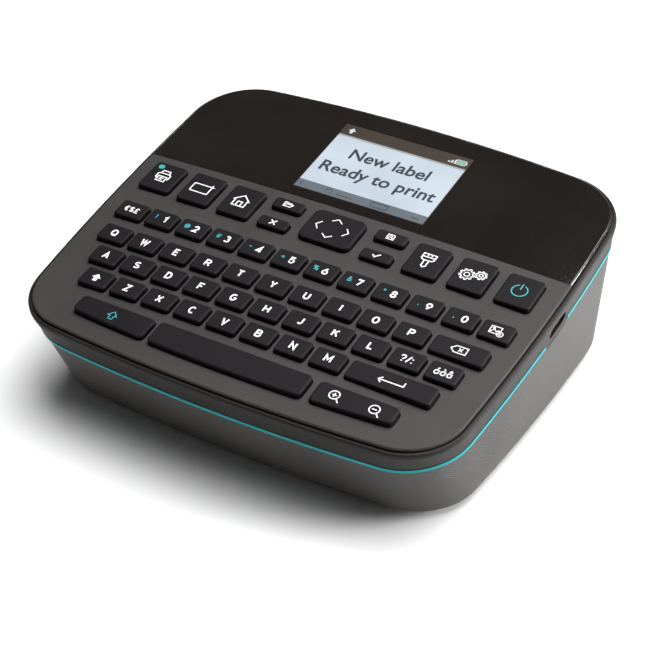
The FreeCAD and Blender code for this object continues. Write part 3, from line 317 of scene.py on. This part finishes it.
class Sheet:
    """Collects flat shapes in deck coordinates and turns them into one thin printed piece."""

    def __init__(self, name, body, material, slot):
        self.name = name
        self.body = body
        self.material = material
        self.slot = slot
        self.polygons = []

    def polygon(self, points, u, v, w):
        """Simple outline in millimetres round (u, v), printed at height w."""
        self.polygons.append([(u + x * MM, v + y * MM, w) for x, y in points])

    def stroke(self, points, width, u, v, w, closed=False):
        for quad in ribbon(points, width, closed):
            self.polygon(quad, u, v, w)

    def build(self, extra=None):
        bm = bmesh.new()
        for ring in self.polygons:
            add_prism(bm, ring)
        for mesh in extra or []:
            bm.from_mesh(mesh)
        mesh = bpy.data.meshes.new(self.name)
        bm.to_mesh(mesh)
        bm.free()
        mesh.materials.clear()
        mesh.materials.append(self.material)
        for face in mesh.polygons:
            face.material_index = 0
        obj = bpy.data.objects.new(self.name, mesh)
        bpy.context.scene.collection.objects.link(obj)
        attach(obj, self.body)
        return obj


def add_prism(bm, ring):
    """Thin closed prism over an outline given as (u, v, w)."""
    area = sum(a[0] * b[1] - b[0] * a[1] for a, b in zip(ring, ring[1:] + ring[:1]))
    if area < 0:
        ring = ring[::-1]
    low = [bm.verts.new(on_deck(u, v, w - INK_T / 3)) for u, v, w in ring]
    high = [bm.verts.new(on_deck(u, v, w + INK_T)) for u, v, w in ring]
    bm.faces.new(high)
    bm.faces.new(low[::-1])
    for k in range(len(ring)):
        n = (k + 1) % len(ring)
        bm.faces.new((low[k], low[n], high[n], high[k]))


def ribbon(points, width, closed):
    """Quads along a line with mitred corners."""
    pts = []
    for x, y in points:
        if not pts or abs(x - pts[-1].x) + abs(y - pts[-1].y) > 1e-4:
            pts.append(Vector((x, y)))
    count = len(pts)
    left = []
    right = []
    for k in range(count):
        before = pts[k - 1] if k > 0 or closed else None
        after = pts[(k + 1) % count] if k < count - 1 or closed else None
        into = (pts[k] - before).normalized() if before is not None else None
        out = (after - pts[k]).normalized() if after is not None else None
        into = into or out
        out = out or into
        side_in = Vector((-into.y, into.x))
        side_out = Vector((-out.y, out.x))
        mitre = side_in + side_out
        if mitre.length < 0.2:
            mitre = side_out.copy()
        mitre.normalize()
        reach = width / 2 / max(0.35, mitre.dot(side_out))
        left.append(pts[k] + mitre * reach)
        right.append(pts[k] - mitre * reach)
    quads = []
    for k in range(count if closed else count - 1):
        n = (k + 1) % count
        quads.append([tuple(right[k]), tuple(right[n]), tuple(left[n]), tuple(left[k])])
    return quads


def arc(cx, cy, radius, start, stop, steps=14):
    out = []
    for k in range(steps + 1):
        a = math.radians(start + (stop - start) * k / steps)
        out.append((cx + radius * math.cos(a), cy + radius * math.sin(a)))
    return out


def disc(cx, cy, radius, steps=20):
    return arc(cx, cy, radius, 0, 360, steps)[:-1]


def rounded(x0, y0, x1, y1, r, steps=4):
    return (arc(x1 - r, y0 + r, r, -90, 0, steps) + arc(x1 - r, y1 - r, r, 0, 90, steps)
            + arc(x0 + r, y1 - r, r, 90, 180, steps) + arc(x0 + r, y0 + r, r, 180, 270, steps))


def oval(cx, cy, rx, ry, start, stop):
    """Part of an ellipse; runs clockwise when stop is below start."""
    steps = max(4, int(abs(stop - start) / 24))
    out = []
    for k in range(steps + 1):
        a = math.radians(start + (stop - start) * k / steps)
        out.append((cx + rx * math.cos(a), cy + ry * math.sin(a)))
    return out


def dot(x, y):
    return oval(x, y, 0.12, 0.12, 0, 360)


BOWL_P = [(0, 0), (0, 6), (2.2, 6)] + oval(2.2, 4.4, 1.6, 1.6, 90, -90) + [(0, 2.8)]
CURVE_S = oval(2, 4.45, 1.8, 1.55, 35, 265) + oval(2, 1.5, 1.9, 1.5, 85, -145)
SMALL_A = [oval(1.5, 1.7, 1.5, 1.7, 0, 360), [(3.0, 3.4), (3.0, 0)]]
GLYPHS = {
    "A": [[(0, 0), (2.1, 6), (4.2, 0)], [(0.8, 1.8), (3.4, 1.8)]],
    "B": [[(0, 0), (0, 6), (2.2, 6)] + oval(2.2, 4.6, 1.4, 1.4, 90, -90) + [(0, 3.2)],
          [(2.2, 3.2)] + oval(2.3, 1.6, 1.6, 1.6, 90, -90) + [(0, 0)]],
    "C": [oval(2.1, 3, 2.1, 3, 48, 312)],
    "D": [[(0, 0), (0, 6), (1.6, 6)] + oval(1.6, 3, 2.4, 3, 90, -90) + [(0, 0)]],
    "E": [[(3.5, 6), (0, 6), (0, 0), (3.5, 0)], [(0, 3.05), (3.0, 3.05)]],
    "F": [[(3.5, 6), (0, 6), (0, 0)], [(0, 3), (3.0, 3)]],
    "G": [oval(2.1, 3, 2.1, 3, 48, 355) + [(2.4, 2.75)]],
    "H": [[(0, 0), (0, 6)], [(4, 0), (4, 6)], [(0, 3), (4, 3)]],
    "I": [[(0, 0), (0, 6)]],
    "J": [[(3, 6), (3, 1.6)] + oval(1.5, 1.6, 1.5, 1.6, 0, -155)],
    "K": [[(0, 0), (0, 6)], [(3.9, 6), (0.2, 2.5)], [(1.5, 3.7), (4.1, 0)]],
    "L": [[(0, 6), (0, 0), (3.4, 0)]],
    "M": [[(0, 0), (0, 6), (2.4, 2.0), (4.8, 6), (4.8, 0)]],
    "N": [[(0, 0), (0, 6), (4, 0), (4, 6)]],
    "O": [oval(2.2, 3, 2.2, 3, 0, 360)],
    "P": [BOWL_P],
    "Q": [oval(2.2, 3, 2.2, 3, 0, 360), [(2.6, 1.7), (4.4, -0.3)]],
    "R": [BOWL_P, [(2.0, 2.8), (4.0, 0)]],
    "S": [CURVE_S],
    "T": [[(0, 6), (4.2, 6)], [(2.1, 6), (2.1, 0)]],
    "U": [[(0, 6), (0, 2)] + oval(2, 2, 2, 2, 180, 360) + [(4, 6)]],
    "V": [[(0, 6), (2.1, 0), (4.2, 6)]],
    "W": [[(0, 6), (1.5, 0), (3.0, 5), (4.5, 0), (6.0, 6)]],
    "X": [[(0, 0), (4, 6)], [(0, 6), (4, 0)]],
    "Y": [[(0, 6), (2.1, 2.8), (4.2, 6)], [(2.1, 2.8), (2.1, 0)]],
    "Z": [[(0, 6), (3.8, 6), (0, 0), (3.8, 0)]],
    "0": [oval(1.9, 3, 1.9, 3, 0, 360)],
    "1": [[(0.1, 4.6), (1.8, 6), (1.8, 0)]],
    "2": [oval(1.9, 4.2, 1.8, 1.8, 165, -30) + [(0, 0), (3.8, 0)]],
    "3": [oval(1.8, 4.5, 1.6, 1.5, 150, -90), oval(1.8, 1.6, 1.8, 1.6, 90, -150)],
    "4": [[(2.9, 0), (2.9, 6), (0, 1.5), (4.0, 1.5)]],
    "5": [[(3.5, 6), (0.5, 6), (0.3, 3.1)] + oval(1.8, 2.0, 1.9, 2.0, 135, -150)],
    "6": [oval(1.9, 1.9, 1.9, 1.9, 0, 360), [(2.9, 6), (0.3, 2.9)]],
    "7": [[(0, 6), (3.8, 6), (1.4, 0)]],
    "8": [oval(1.9, 4.5, 1.5, 1.5, 0, 360), oval(1.9, 1.5, 1.8, 1.5, 0, 360)],
    "9": [oval(1.9, 4.1, 1.9, 1.9, 0, 360), [(0.9, 0), (3.5, 3.1)]],
    "!": [[(0, 6), (0, 1.9)], dot(0, 0.2)],
    "@": [oval(2.6, 2.8, 1.2, 1.3, 0, 360), oval(2.6, 2.8, 2.6, 2.9, -60, 290)],
    "#": [[(1, 0), (1.8, 6)], [(3, 0), (3.8, 6)], [(0, 2), (4.4, 2)], [(0.3, 4), (4.7, 4)]],
    "-": [[(0, 3), (2.8, 3)]],
    "+": [[(0, 3), (4, 3)], [(2, 1), (2, 5)]],
    "%": [oval(1, 4.8, 1, 1.1, 0, 360), oval(4, 1.2, 1, 1.1, 0, 360), [(0.8, 0), (4.2, 6)]],
    "&": [[(4.4, 0), (1.1, 4.0), (0.9, 5.2), (1.8, 6), (2.8, 5.2), (2.6, 4.2), (0.6, 2.6), (0.1, 1.3),
           (0.8, 0.2), (2.0, 0), (3.4, 0.9), (4.3, 2.8)]],
    "*": [[(1.6, 6), (1.6, 3)], [(0.3, 5.25), (2.9, 3.75)], [(0.3, 3.75), (2.9, 5.25)]],
    ".": [dot(0, 0.3)],
    ",": [[(0.2, 0.6), (-0.2, -0.9)]],
    "/": [[(0, -0.4), (2.6, 6.4)]],
    ":": [dot(0, 3.9), dot(0, 0.4)],
    "?": [oval(1.7, 4.4, 1.7, 1.6, 170, -60) + [(1.7, 1.9)], dot(1.7, 0.2)],
    "$": [CURVE_S, [(2, -0.8), (2, 6.8)]],
    "\u20ac": [oval(2.5, 3, 2, 3, 50, 310), [(-0.3, 3.6), (2.9, 3.6)], [(-0.3, 2.4), (2.7, 2.4)]],
    "\u00a3": [oval(2.5, 4.4, 1.5, 1.6, 20, 180) + [(1.1, 1.3), (0.2, 0), (3.9, 0)],
               [(0.1, 2.9), (2.9, 2.9)]],
    "\u00e1": SMALL_A + [[(1.3, 4.5), (2.5, 5.9)]],
    "\u00e0": SMALL_A + [[(2.3, 4.5), (1.1, 5.9)]],
    "\u00e2": SMALL_A + [[(0.5, 4.5), (1.6, 5.9), (2.7, 4.5)]],
}


def lettering(sheet, text, height, u, v, w, weight, stretch=1.0):
    """Writes text with even strokes, centred on (u, v); height is that of a capital."""
    unit = height / 6.0
    space = 1.25
    lines = []
    pen = 0.0
    for ch in text:
        strokes_of = GLYPHS[ch]
        wide = max(x for line in strokes_of for x, y in line)
        lines += [[(x + pen, y) for x, y in line] for line in strokes_of]
        pen += wide + space + weight / unit / 2
    span = pen - space - weight / unit / 2
    for line in lines:
        pts = [((x - span / 2) * unit * stretch, (y - 3.0) * unit) for x, y in line]
        ring = len(pts) > 3 and abs(pts[0][0] - pts[-1][0]) + abs(pts[0][1] - pts[-1][1]) < 1e-6
        sheet.stroke(pts[:-1] if ring else pts, weight, u, v, w, ring)


def font_text(text, height, u, v, w, bold):
    """Mesh of a line of plain text for the display."""
    curve = bpy.data.curves.new("lettering", "FONT")
    curve.body = text
    curve.size = height * MM / 0.72
    curve.align_x = "CENTER"
    curve.align_y = "CENTER"
    curve.offset = bold * MM
    curve.extrude = INK_T / 2
    curve.resolution_u = 3
    obj = bpy.data.objects.new("lettering", curve)
    bpy.context.scene.collection.objects.link(obj)
    bpy.context.view_layer.update()
    mesh = bpy.data.meshes.new_from_object(obj)
    bpy.data.objects.remove(obj)
    bpy.data.curves.remove(curve)
    place = Matrix(((RIGHT.x, BACK.x, UP.x, 0), (RIGHT.y, BACK.y, UP.y, 0),
                    (RIGHT.z, BACK.z, UP.z, 0), (0, 0, 0, 1)))
    mesh.transform(Matrix.Translation(on_deck(u, v, w + INK_T / 3)) @ place)
    return mesh


# ---------------------------------------------------------------- legends
LETTER = 3.1               # height of key letters in millimetres
WEIGHT = 0.68              # their stroke


def letters_on(node, text):
    caps = caps_of(node)
    sheet = Sheet(node + "_legend", node, WHITE_INK, "key_plastic")
    for ch, c in zip(text, caps):
        lettering(sheet, ch, LETTER, c.u, c.v, c.top, WEIGHT)
    sheet.build()


def digit_legends():
    caps = caps_of("digit_keys")
    second = "!@#-+%&*.,"
    white = Sheet("digit_keys_legend", "digit_keys", WHITE_INK, "key_plastic")
    teal = Sheet("digit_keys_second_legend", "digit_keys", TEAL_INK, "accent_plastic")
    for ch, other, c in zip("1234567890", second, caps):
        lettering(white, ch, LETTER, c.u + 1.6 * MM, c.v, c.top, WEIGHT)
        lettering(teal, other, 2.3, c.u - 2.7 * MM, c.v + 0.4 * MM, c.top, 0.46)
    white.build()
    teal.build()


def icon(node, draw, material=None, suffix="icon"):
    """Calls draw(sheet, cap) for a single key and builds the printed piece."""
    cap = caps_of(node)[0]
    ink = material or WHITE_INK
    slot_name = "accent_plastic" if ink is TEAL_INK else "key_plastic"
    sheet = Sheet(f"{node}_{suffix}", node, ink, slot_name)
    draw(sheet, cap)
    sheet.build()


def strokes(lines, width, dx=0.0, dy=0.0, scale=1.0):
    """Drawing routine for a list of (points, closed) lines in millimetres."""
    def draw(sheet, cap):
        for points, closed in lines:
            moved = [(x * scale + dx, y * scale + dy) for x, y in points]
            sheet.stroke(moved, width, cap.u, cap.v, cap.top, closed)
    return draw


def draw_printer(sheet, cap):
    body = [(-3.0, -1.2), (-3.0, 1.3), (-2.3, 1.9), (2.3, 1.9), (3.0, 1.3), (3.0, -1.2)]
    strokes([(body, False), ([(-2.0, 2.2), (-1.7, 3.6), (1.7, 3.6), (2.0, 2.2)], False),
             ([(-2.0, 0.0), (2.0, 0.0), (2.0, -2.9), (-2.0, -2.9)], True),
             ([(-3.0, -1.2), (-2.2, -1.2)], False), ([(2.2, -1.2), (3.0, -1.2)], False),
             ([(-1.1, -1.0), (1.1, -1.0)], False), ([(-1.1, -1.9), (0.5, -1.9)], False)],
            0.5)(sheet, cap)


def draw_label(sheet, cap):
    strokes([(rounded(-4.4, -2.5, 3.9, 2.3, 0.4), True)], 0.5)(sheet, cap)
    star = []
    for k in range(8):
        r = 1.5 if k % 2 == 0 else 0.42
        a = math.radians(45 * k)
        star.append((3.9 + r * math.cos(a), 2.3 + r * math.sin(a)))
    sheet.polygon(star, cap.u, cap.v, cap.top + INK_T / 2)


def draw_house(sheet, cap):
    roof = [(-3.3, 0.2), (0.0, 3.2), (3.3, 0.2)]
    wall = [(-2.5, 0.6), (-2.5, -2.8), (2.5, -2.8), (2.5, 0.6)]
    door = [(-0.9, -2.8), (-0.9, -0.4), (0.9, -0.4), (0.9, -2.8)]
    strokes([(roof, False), (wall, False), (door, False)], 0.52, scale=1.12)(sheet, cap)


def draw_folder(sheet, cap):
    back = [(-1.9, -1.2), (-1.9, 1.2), (-0.6, 1.2), (-0.2, 0.75), (1.3, 0.75), (1.3, 0.2)]
    front = [(-1.9, -1.2), (-1.1, 0.2), (2.1, 0.2), (1.4, -1.2)]
    strokes([(back, False), (front, True)], 0.42)(sheet, cap)


def draw_cross(sheet, cap):
    strokes([([(-1.0, -1.0), (1.0, 1.0)], False), ([(-1.0, 1.0), (1.0, -1.0)], False)],
            0.55, scale=1.25)(sheet, cap)


def draw_disk(sheet, cap):
    strokes([([(-1.5, -1.4), (-1.5, 1.4), (1.0, 1.4), (1.5, 0.9), (1.5, -1.4)], True),
             ([(-0.8, -1.4), (-0.8, -0.2), (0.8, -0.2), (0.8, -1.4)], False),
             ([(-0.6, 1.4), (-0.6, 0.6), (0.5, 0.6), (0.5, 1.4)], False)], 0.36)(sheet, cap)


def draw_tick(sheet, cap):
    strokes([([(-1.5, 0.0), (-0.4, -1.0), (1.6, 1.0)], False)], 0.55)(sheet, cap)


def draw_brush(sheet, cap):
    head = [(-2.2, 2.9), (2.2, 2.9), (2.2, 0.6), (1.5, 0.0), (-1.5, 0.0), (-2.2, 0.6)]
    neck = [(-0.75, 0.0), (-0.75, -2.6), (0.0, -3.3), (0.75, -2.6), (0.75, 0.0)]
    strokes([(head, True), (neck, False), ([(-2.2, 1.5), (2.2, 1.5)], False),
             ([(-0.6, 2.9), (-0.6, 2.0)], False), ([(0.7, 2.9), (0.7, 2.0)], False)],
            0.5, scale=1.25)(sheet, cap)


def cog(cx, cy, tip, root, teeth):
    out = []
    step = 360.0 / teeth
    for k in range(teeth):
        a = k * step
        for r, da in ((root, -0.30), (tip, -0.18), (tip, 0.18), (root, 0.30)):
            t = math.radians(a + da * step)
            out.append((cx + r * math.cos(t), cy + r * math.sin(t)))
    return out


def draw_cogs(sheet, cap):
    strokes([(cog(-1.7, -0.3, 2.3, 1.75, 9), True), (disc(-1.7, -0.3, 0.85), True),
             (cog(2.4, 0.9, 1.75, 1.3, 8), True), (disc(2.4, 0.9, 0.6), True)], 0.4, scale=1.3)(sheet, cap)


def draw_power(sheet, cap):
    strokes([(arc(0, 0, 3.1, 112, 428, 34), False), ([(0, 0.6), (0, 3.9)], False)], 0.5)(sheet, cap)


def draw_chevrons(sheet, cap):
    reach = 5.6
    rise = 4.0
    half = 2.3
    deep = 1.8
    lines = [([(-half, rise), (0, rise + deep), (half, rise)], False),
             ([(-half, -rise), (0, -rise - deep), (half, -rise)], False),
             ([(-reach, half), (-reach - deep, 0), (-reach, -half)], False),
             ([(reach, half), (reach + deep, 0), (reach, -half)], False)]
    strokes(lines, 0.42)(sheet, cap)


def draw_picture(sheet, cap):
    strokes([([(-2.6, -1.6), (-2.6, 2.0), (1.6, 2.0), (1.6, -1.6)], True),
             ([(-2.3, -1.2), (-1.0, 0.5), (0.0, -0.5), (0.8, 0.3), (1.4, -0.4)], False),
             (disc(-1.4, 1.1, 0.35, 10), True), (disc(1.9, -1.4, 1.25, 18), True),
             ([(1.9, -2.0), (1.9, -0.8)], False), ([(1.3, -1.4), (2.5, -1.4)], False)],
            0.34)(sheet, cap)


def draw_backspace(sheet, cap):
    strokes([([(-3.3, 0.0), (-1.6, 1.7), (3.1, 1.7), (3.1, -1.7), (-1.6, -1.7)], True),
             ([(-0.2, -0.8), (1.4, 0.8)], False), ([(-0.2, 0.8), (1.4, -0.8)], False)],
            0.42)(sheet, cap)


def draw_enter(sheet, cap):
    strokes([([(5.2, 1.6), (5.2, -0.5), (-5.0, -0.5)], False),
             ([(-3.6, 0.9), (-5.0, -0.5), (-3.6, -1.9)], False)], 0.5)(sheet, cap)


ARROW = [(0.0, 2.1), (2.0, -0.1), (0.85, -0.1), (0.85, -1.9), (-0.85, -1.9), (-0.85, -0.1), (-2.0, -0.1)]


def draw_caps(sheet, cap):
    head = [(0.0, 2.1), (-2.0, -0.1), (2.0, -0.1)]
    stem = [(-0.85, -0.1), (-0.85, -1.9), (0.85, -1.9), (0.85, -0.1)]
    sheet.polygon(head, cap.u, cap.v, cap.top)
    sheet.polygon(stem, cap.u, cap.v, cap.top)


def draw_shift(sheet, cap):
    strokes([(ARROW, True)], 0.4)(sheet, cap)


def draw_zoom(sheet, cap):
    for side, plus in ((-1, True), (1, False)):
        cx = side * 8.2 - 0.2
        strokes([(disc(cx, 0.7, 2.0), True), ([(cx + 1.45, -0.75), (cx + 2.9, -2.4)], False),
                 ([(cx - 0.95, 0.7), (cx + 0.95, 0.7)], False)], 0.46)(sheet, cap)
        if plus:
            strokes([([(cx, -0.25), (cx, 1.65)], False)], 0.46)(sheet, cap)


def word(text, height, weight, stretch=1.0):
    def draw(sheet, cap):
        lettering(sheet, text, height, cap.u, cap.v, cap.top, weight, stretch)
    return draw


def print_dot(sheet, cap):
    sheet.polygon(disc(-4.0, 5.3, 1.35), cap.u, cap.v, cap.top)


def legends():
    digit_legends()
    letters_on("letter_keys_top", "QWERTYUIOP")
    letters_on("letter_keys_home", "ASDFGHJKL")
    letters_on("letter_keys_bottom", "ZXCVBNM")
    icon("key_currency", word("\u20ac$\u00a3", 2.5, 0.48))
    icon("key_punctuation", word("?/:", 3.0, 0.55))
    icon("key_accents", word("\u00e1\u00e0\u00e2", 3.3, 0.5))
    icon("key_print", draw_printer)
    icon("key_print", print_dot, TEAL_INK, "dot")
    icon("key_preview", draw_label)
    icon("key_home", draw_house)
    icon("key_folder", draw_folder)
    icon("key_cancel", draw_cross)
    icon("key_navigation", draw_chevrons)
    icon("key_save", draw_disk)
    icon("key_confirm", draw_tick)
    icon("key_format", draw_brush)
    icon("key_settings", draw_cogs)
    icon("key_power", draw_power, TEAL_INK)
    icon("key_picture", draw_picture)
    icon("key_backspace", draw_backspace)
    icon("key_enter", draw_enter)
    icon("key_caps", draw_caps)
    icon("key_shift", draw_shift, TEAL_INK)
    icon("key_zoom", draw_zoom)


# ---------------------------------------------------------------- display picture
def display():
    """Picture on the LCD: status bar, message and soft-key bar, as thin lit layers."""
    pts = deck_coordinates("lcd_module")
    top = float(pts[:, 2].max()) - DECK_ZERO
    glass = pts[pts[:, 2] > DECK_ZERO + top - 0.0001]
    u0, v0 = glass[:, 0].min(), glass[:, 1].min()
    u1, v1 = glass[:, 0].max(), glass[:, 1].max()
    wide = (u1 - u0) / MM
    high = (v1 - v0) / MM
    cu = (u0 + u1) / 2
    cv = (v0 + v1) / 2
    hw = wide / 2
    hh = high / 2
    status = 7.2
    softkeys = 5.2
    rule = 1.0
    edge = 0.35

    def layer(name, material, shapes, lift=0.0, extra=None):
        sheet = Sheet(name, "base", material, "lcd_glass")
        for ring in shapes:
            sheet.polygon(ring, cu, cv, top + lift)
        sheet.build(extra)

    def bar(y0, y1, inset=edge):
        return [(-hw + inset, y0), (hw - inset, y0), (hw - inset, y1), (-hw + inset, y1)]

    layer("display_status_bar", SCREEN_TOP, [bar(hh - status, hh - edge)])
    layer("display_rule", SCREEN_LINE, [bar(hh - status - rule, hh - status)])
    layer("display_page", SCREEN, [bar(-hh + softkeys, hh - status - rule)])
    layer("display_soft_keys", SCREEN_BAR, [bar(-hh + edge, -hh + softkeys)])
    lift = INK_T * 1.5
    capital = 6.6
    bold = 0.17
    words = [font_text("New label", capital, cu, cv + 4.9 * MM, top + lift, bold),
             font_text("Ready to print", capital, cu, cv - 6.2 * MM, top + lift, bold)]
    layer("display_message", SCREEN_INK, [], lift, words)
    y = -hh + softkeys / 2 + 0.2
    marks = ribbon([(-hw + 3.0, y + 0.9), (-hw + 2.0, y), (-hw + 3.0, y - 0.9)], 0.3, False)
    marks += ribbon([(-16.0, y - 0.9), (-16.0, y + 0.5), (-14.6, y + 1.0), (-13.2, y + 0.5),
                     (-13.2, y - 0.9)], 0.3, False)
    marks += ribbon([(-11.0, y - 0.7), (-3.5, y - 0.7)], 0.3, False)
    marks += ribbon(rounded(5.0, y - 1.3, 12.5, y + 1.3, 0.4), 0.3, True)
    marks += ribbon([(hw - 7.0, y - 0.6), (hw - 3.0, y - 0.6)], 0.3, False)
    layer("display_soft_key_marks", SCREEN_INK, marks, lift)
    y = hh - status / 2 - 0.4
    x = -hw + 4.6
    arrow = [[(x, y + 1.9), (x - 1.7, y), (x + 1.7, y)],
             [(x - 0.7, y), (x - 0.7, y - 1.6), (x + 0.7, y - 1.6), (x + 0.7, y)]]
    x = hw - 9.5
    bars = [[(x + 1.3 * k, y - 1.5), (x + 1.3 * k + 0.8, y - 1.5), (x + 1.3 * k + 0.8, y - 0.6 + 0.8 * k),
             (x + 1.3 * k, y - 0.6 + 0.8 * k)] for k in range(3)]
    layer("display_status_marks", SCREEN_PALE, arrow + bars, lift)
    x = hw - 3.6
    case = ribbon(rounded(x - 2.6, y - 1.4, x + 1.7, y + 1.4, 0.3), 0.3, True)
    case.append([(x + 1.8, y - 0.6), (x + 2.3, y - 0.6), (x + 2.3, y + 0.6), (x + 1.8, y + 0.6)])
    layer("display_battery_case", SCREEN_PALE, case, lift)
    level = [(x - 2.2, y - 1.0), (x + 1.3, y - 1.0), (x + 1.3, y + 1.0), (x - 2.2, y + 1.0)]
    layer("display_battery_level", SCREEN_GREEN, [level], lift)


# ---------------------------------------------------------------- grip ribs
RIB_PITCH = 0.00115        # distance between ribs, metres like all sizes in this section
RIB_HALF = 0.00028
RIB_TALL = 0.00021
RIB_FOOT = 0.00004         # the rib's edges sink this far into the base
RIB_STEP = 0.0022          # each rib drops and runs back by this much per step
RIB_STEPS = 13
RIB_FIRST = 0.012          # where the first and the last rib start along the flank
RIB_LAST = 0.125
RIB_BELOW_STRIP = 0.0012
RIB_LOWEST = 0.0085
FADE_END = 0.098           # ribs flatten out towards this distance along the flank
FADE_LONG = 0.05
FADE_FLAT = 0.02           # a rib flatter than this share isn't drawn
CORNER_R = 0.026           # bend of the front corner that the ribs follow
OUTSIDE = 0.2              # rays start this far outside the base


def grip_path(s):
    """Point inside the base and outward direction at distance s along its right side from the front."""
    corner_x = 0.066
    corner_y = -0.040
    bend = CORNER_R * math.pi / 2
    if s < bend:
        a = -math.pi / 2 + s / CORNER_R
        return Vector((corner_x, corner_y, 0)), Vector((math.cos(a), math.sin(a), 0))
    return Vector((corner_x, corner_y + s - bend, 0)), Vector((1, 0, 0))


def strip_height(y):
    """Height of the accent strip's lower edge at a given distance back."""
    slope = UP.y / UP.z
    return STRIP_LOW - slope * y


def grip_ribs():
    """Fine slanting ribs moulded into both flanks of the base, fading out towards the back."""
    base = NODES["lower_housing"]
    for side, name in ((1, "grip_ribs_right"), (-1, "grip_ribs_left")):
        bm = bmesh.new()
        start = RIB_FIRST
        while start < RIB_LAST:
            add_rib(bm, base, start, side)
            start += RIB_PITCH
        mesh = bpy.data.meshes.new(name)
        bm.to_mesh(mesh)
        bm.free()
        mesh.materials.append(BASE)
        obj = bpy.data.objects.new(name, mesh)
        bpy.context.scene.collection.objects.link(obj)
        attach(obj, "base")


def add_rib(bm, base, start, side):
    """One rib on the flank at side +1 or -1, following the base's surface down and back."""
    rows = []
    for k in range(RIB_STEPS):
        run = RIB_STEP * k
        s = start + run
        inner, out = grip_path(s)
        along = Vector((-out.y, out.x, 0))
        rail = inner + out * CORNER_R
        z = strip_height(rail.y) - RIB_BELOW_STRIP - run
        if z < RIB_LOWEST:
            break
        fade = min(1.0, max(0.0, (FADE_END - s) / FADE_LONG))
        if fade <= FADE_FLAT:
            break
        row = []
        for shift, lift in ((-RIB_HALF, -RIB_FOOT), (0.0, RIB_TALL * fade), (RIB_HALF, -RIB_FOOT)):
            foot = inner + along * shift
            far = foot + out * OUTSIDE
            origin = Vector((side * far.x, far.y, z + shift * 0.3))
            way = Vector((-side * out.x, -out.y, 0))
            hit, where, normal, _ = base.ray_cast(origin, way)
            if not hit:
                row = None
                break
            row.append(where + normal * lift)
        if row is None:
            break
        rows.append([bm.verts.new(p) for p in row])
    for a, b in zip(rows, rows[1:]):
        for k in range(2):
            quad = (a[k], a[k + 1], b[k + 1], b[k])
            bm.faces.new(quad if side < 0 else quad[::-1])


# ---------------------------------------------------------------- stage, light and camera
VIEW_AZIMUTH = 30.5
VIEW_ELEVATION = 36.0
VIEW_DISTANCE = 0.65
VIEW_TARGET = Vector((0.0263, -0.0419, 0.0571))
LENS = 97.2


def camera():
    data = bpy.data.cameras.new("camera")
    data.lens = LENS
    data.sensor_width = 36.0
    obj = bpy.data.objects.new("camera", data)
    bpy.context.scene.collection.objects.link(obj)
    az = math.radians(VIEW_AZIMUTH)
    el = math.radians(VIEW_ELEVATION)
    toward = Vector((-math.sin(az) * math.cos(el), math.cos(az) * math.cos(el), -math.sin(el)))
    obj.location = VIEW_TARGET - toward * VIEW_DISTANCE
    obj.rotation_euler = toward.to_track_quat("-Z", "Y").to_euler()
    data.clip_start = 0.01
    bpy.context.scene.camera = obj


def floor():
    mesh = bpy.data.meshes.new("floor")
    half = 3.0
    corners = [(-half, -half, 0), (half, -half, 0), (half, half, 0), (-half, half, 0)]
    mesh.from_pydata(corners, [], [(0, 1, 2, 3)])
    obj = bpy.data.objects.new("floor", mesh)
    bpy.context.scene.collection.objects.link(obj)
    mat, tree, shader = new_material("floor_paper")
    where = texture_coordinates(tree)
    tree.links.new(blend_colours(tree, noise(tree, where, 3.0), (0.90, 0.90, 0.90), (0.94, 0.94, 0.94)),
                   shader.inputs["Base Color"])
    shader.inputs["Roughness"].default_value = 0.9
    shader.inputs["Specular IOR Level"].default_value = 0.1
    mesh.materials.append(mat)


def softbox(name, where, target, size, power):
    data = bpy.data.lights.new(name, "AREA")
    data.shape = "RECTANGLE"
    data.size = size[0]
    data.size_y = size[1]
    data.energy = power
    obj = bpy.data.objects.new(name, data)
    bpy.context.scene.collection.objects.link(obj)
    obj.location = where
    obj.rotation_euler = (Vector(target) - Vector(where)).to_track_quat("-Z", "Y").to_euler()


def lights():
    """Three soft boxes, each with its place, aim, size in metres and power in watts."""
    softbox("top_softbox", (0.2, 0.25, 1.25), (0, 0, 0.03), (1.4, 1.2), 34.0)
    softbox("side_softbox", (1.1, 0.6, 0.3), (0.05, 0, 0.04), (0.6, 0.45), 23.0)
    softbox("front_softbox", (-0.6, -1.3, 0.75), (0, 0, 0.03), (0.9, 0.6), 0.3)
    world = bpy.data.worlds.new("studio")
    world.use_nodes = True
    world.node_tree.nodes["Background"].inputs["Color"].default_value = (0.97, 0.98, 1.0, 1)
    world.node_tree.nodes["Background"].inputs["Strength"].default_value = 0.06
    bpy.context.scene.world = world


dress_nodes()
legends()
display()
grip_ribs()
floor()
lights()
camera()
bpy.context.scene.view_settings.view_transform = "Standard"
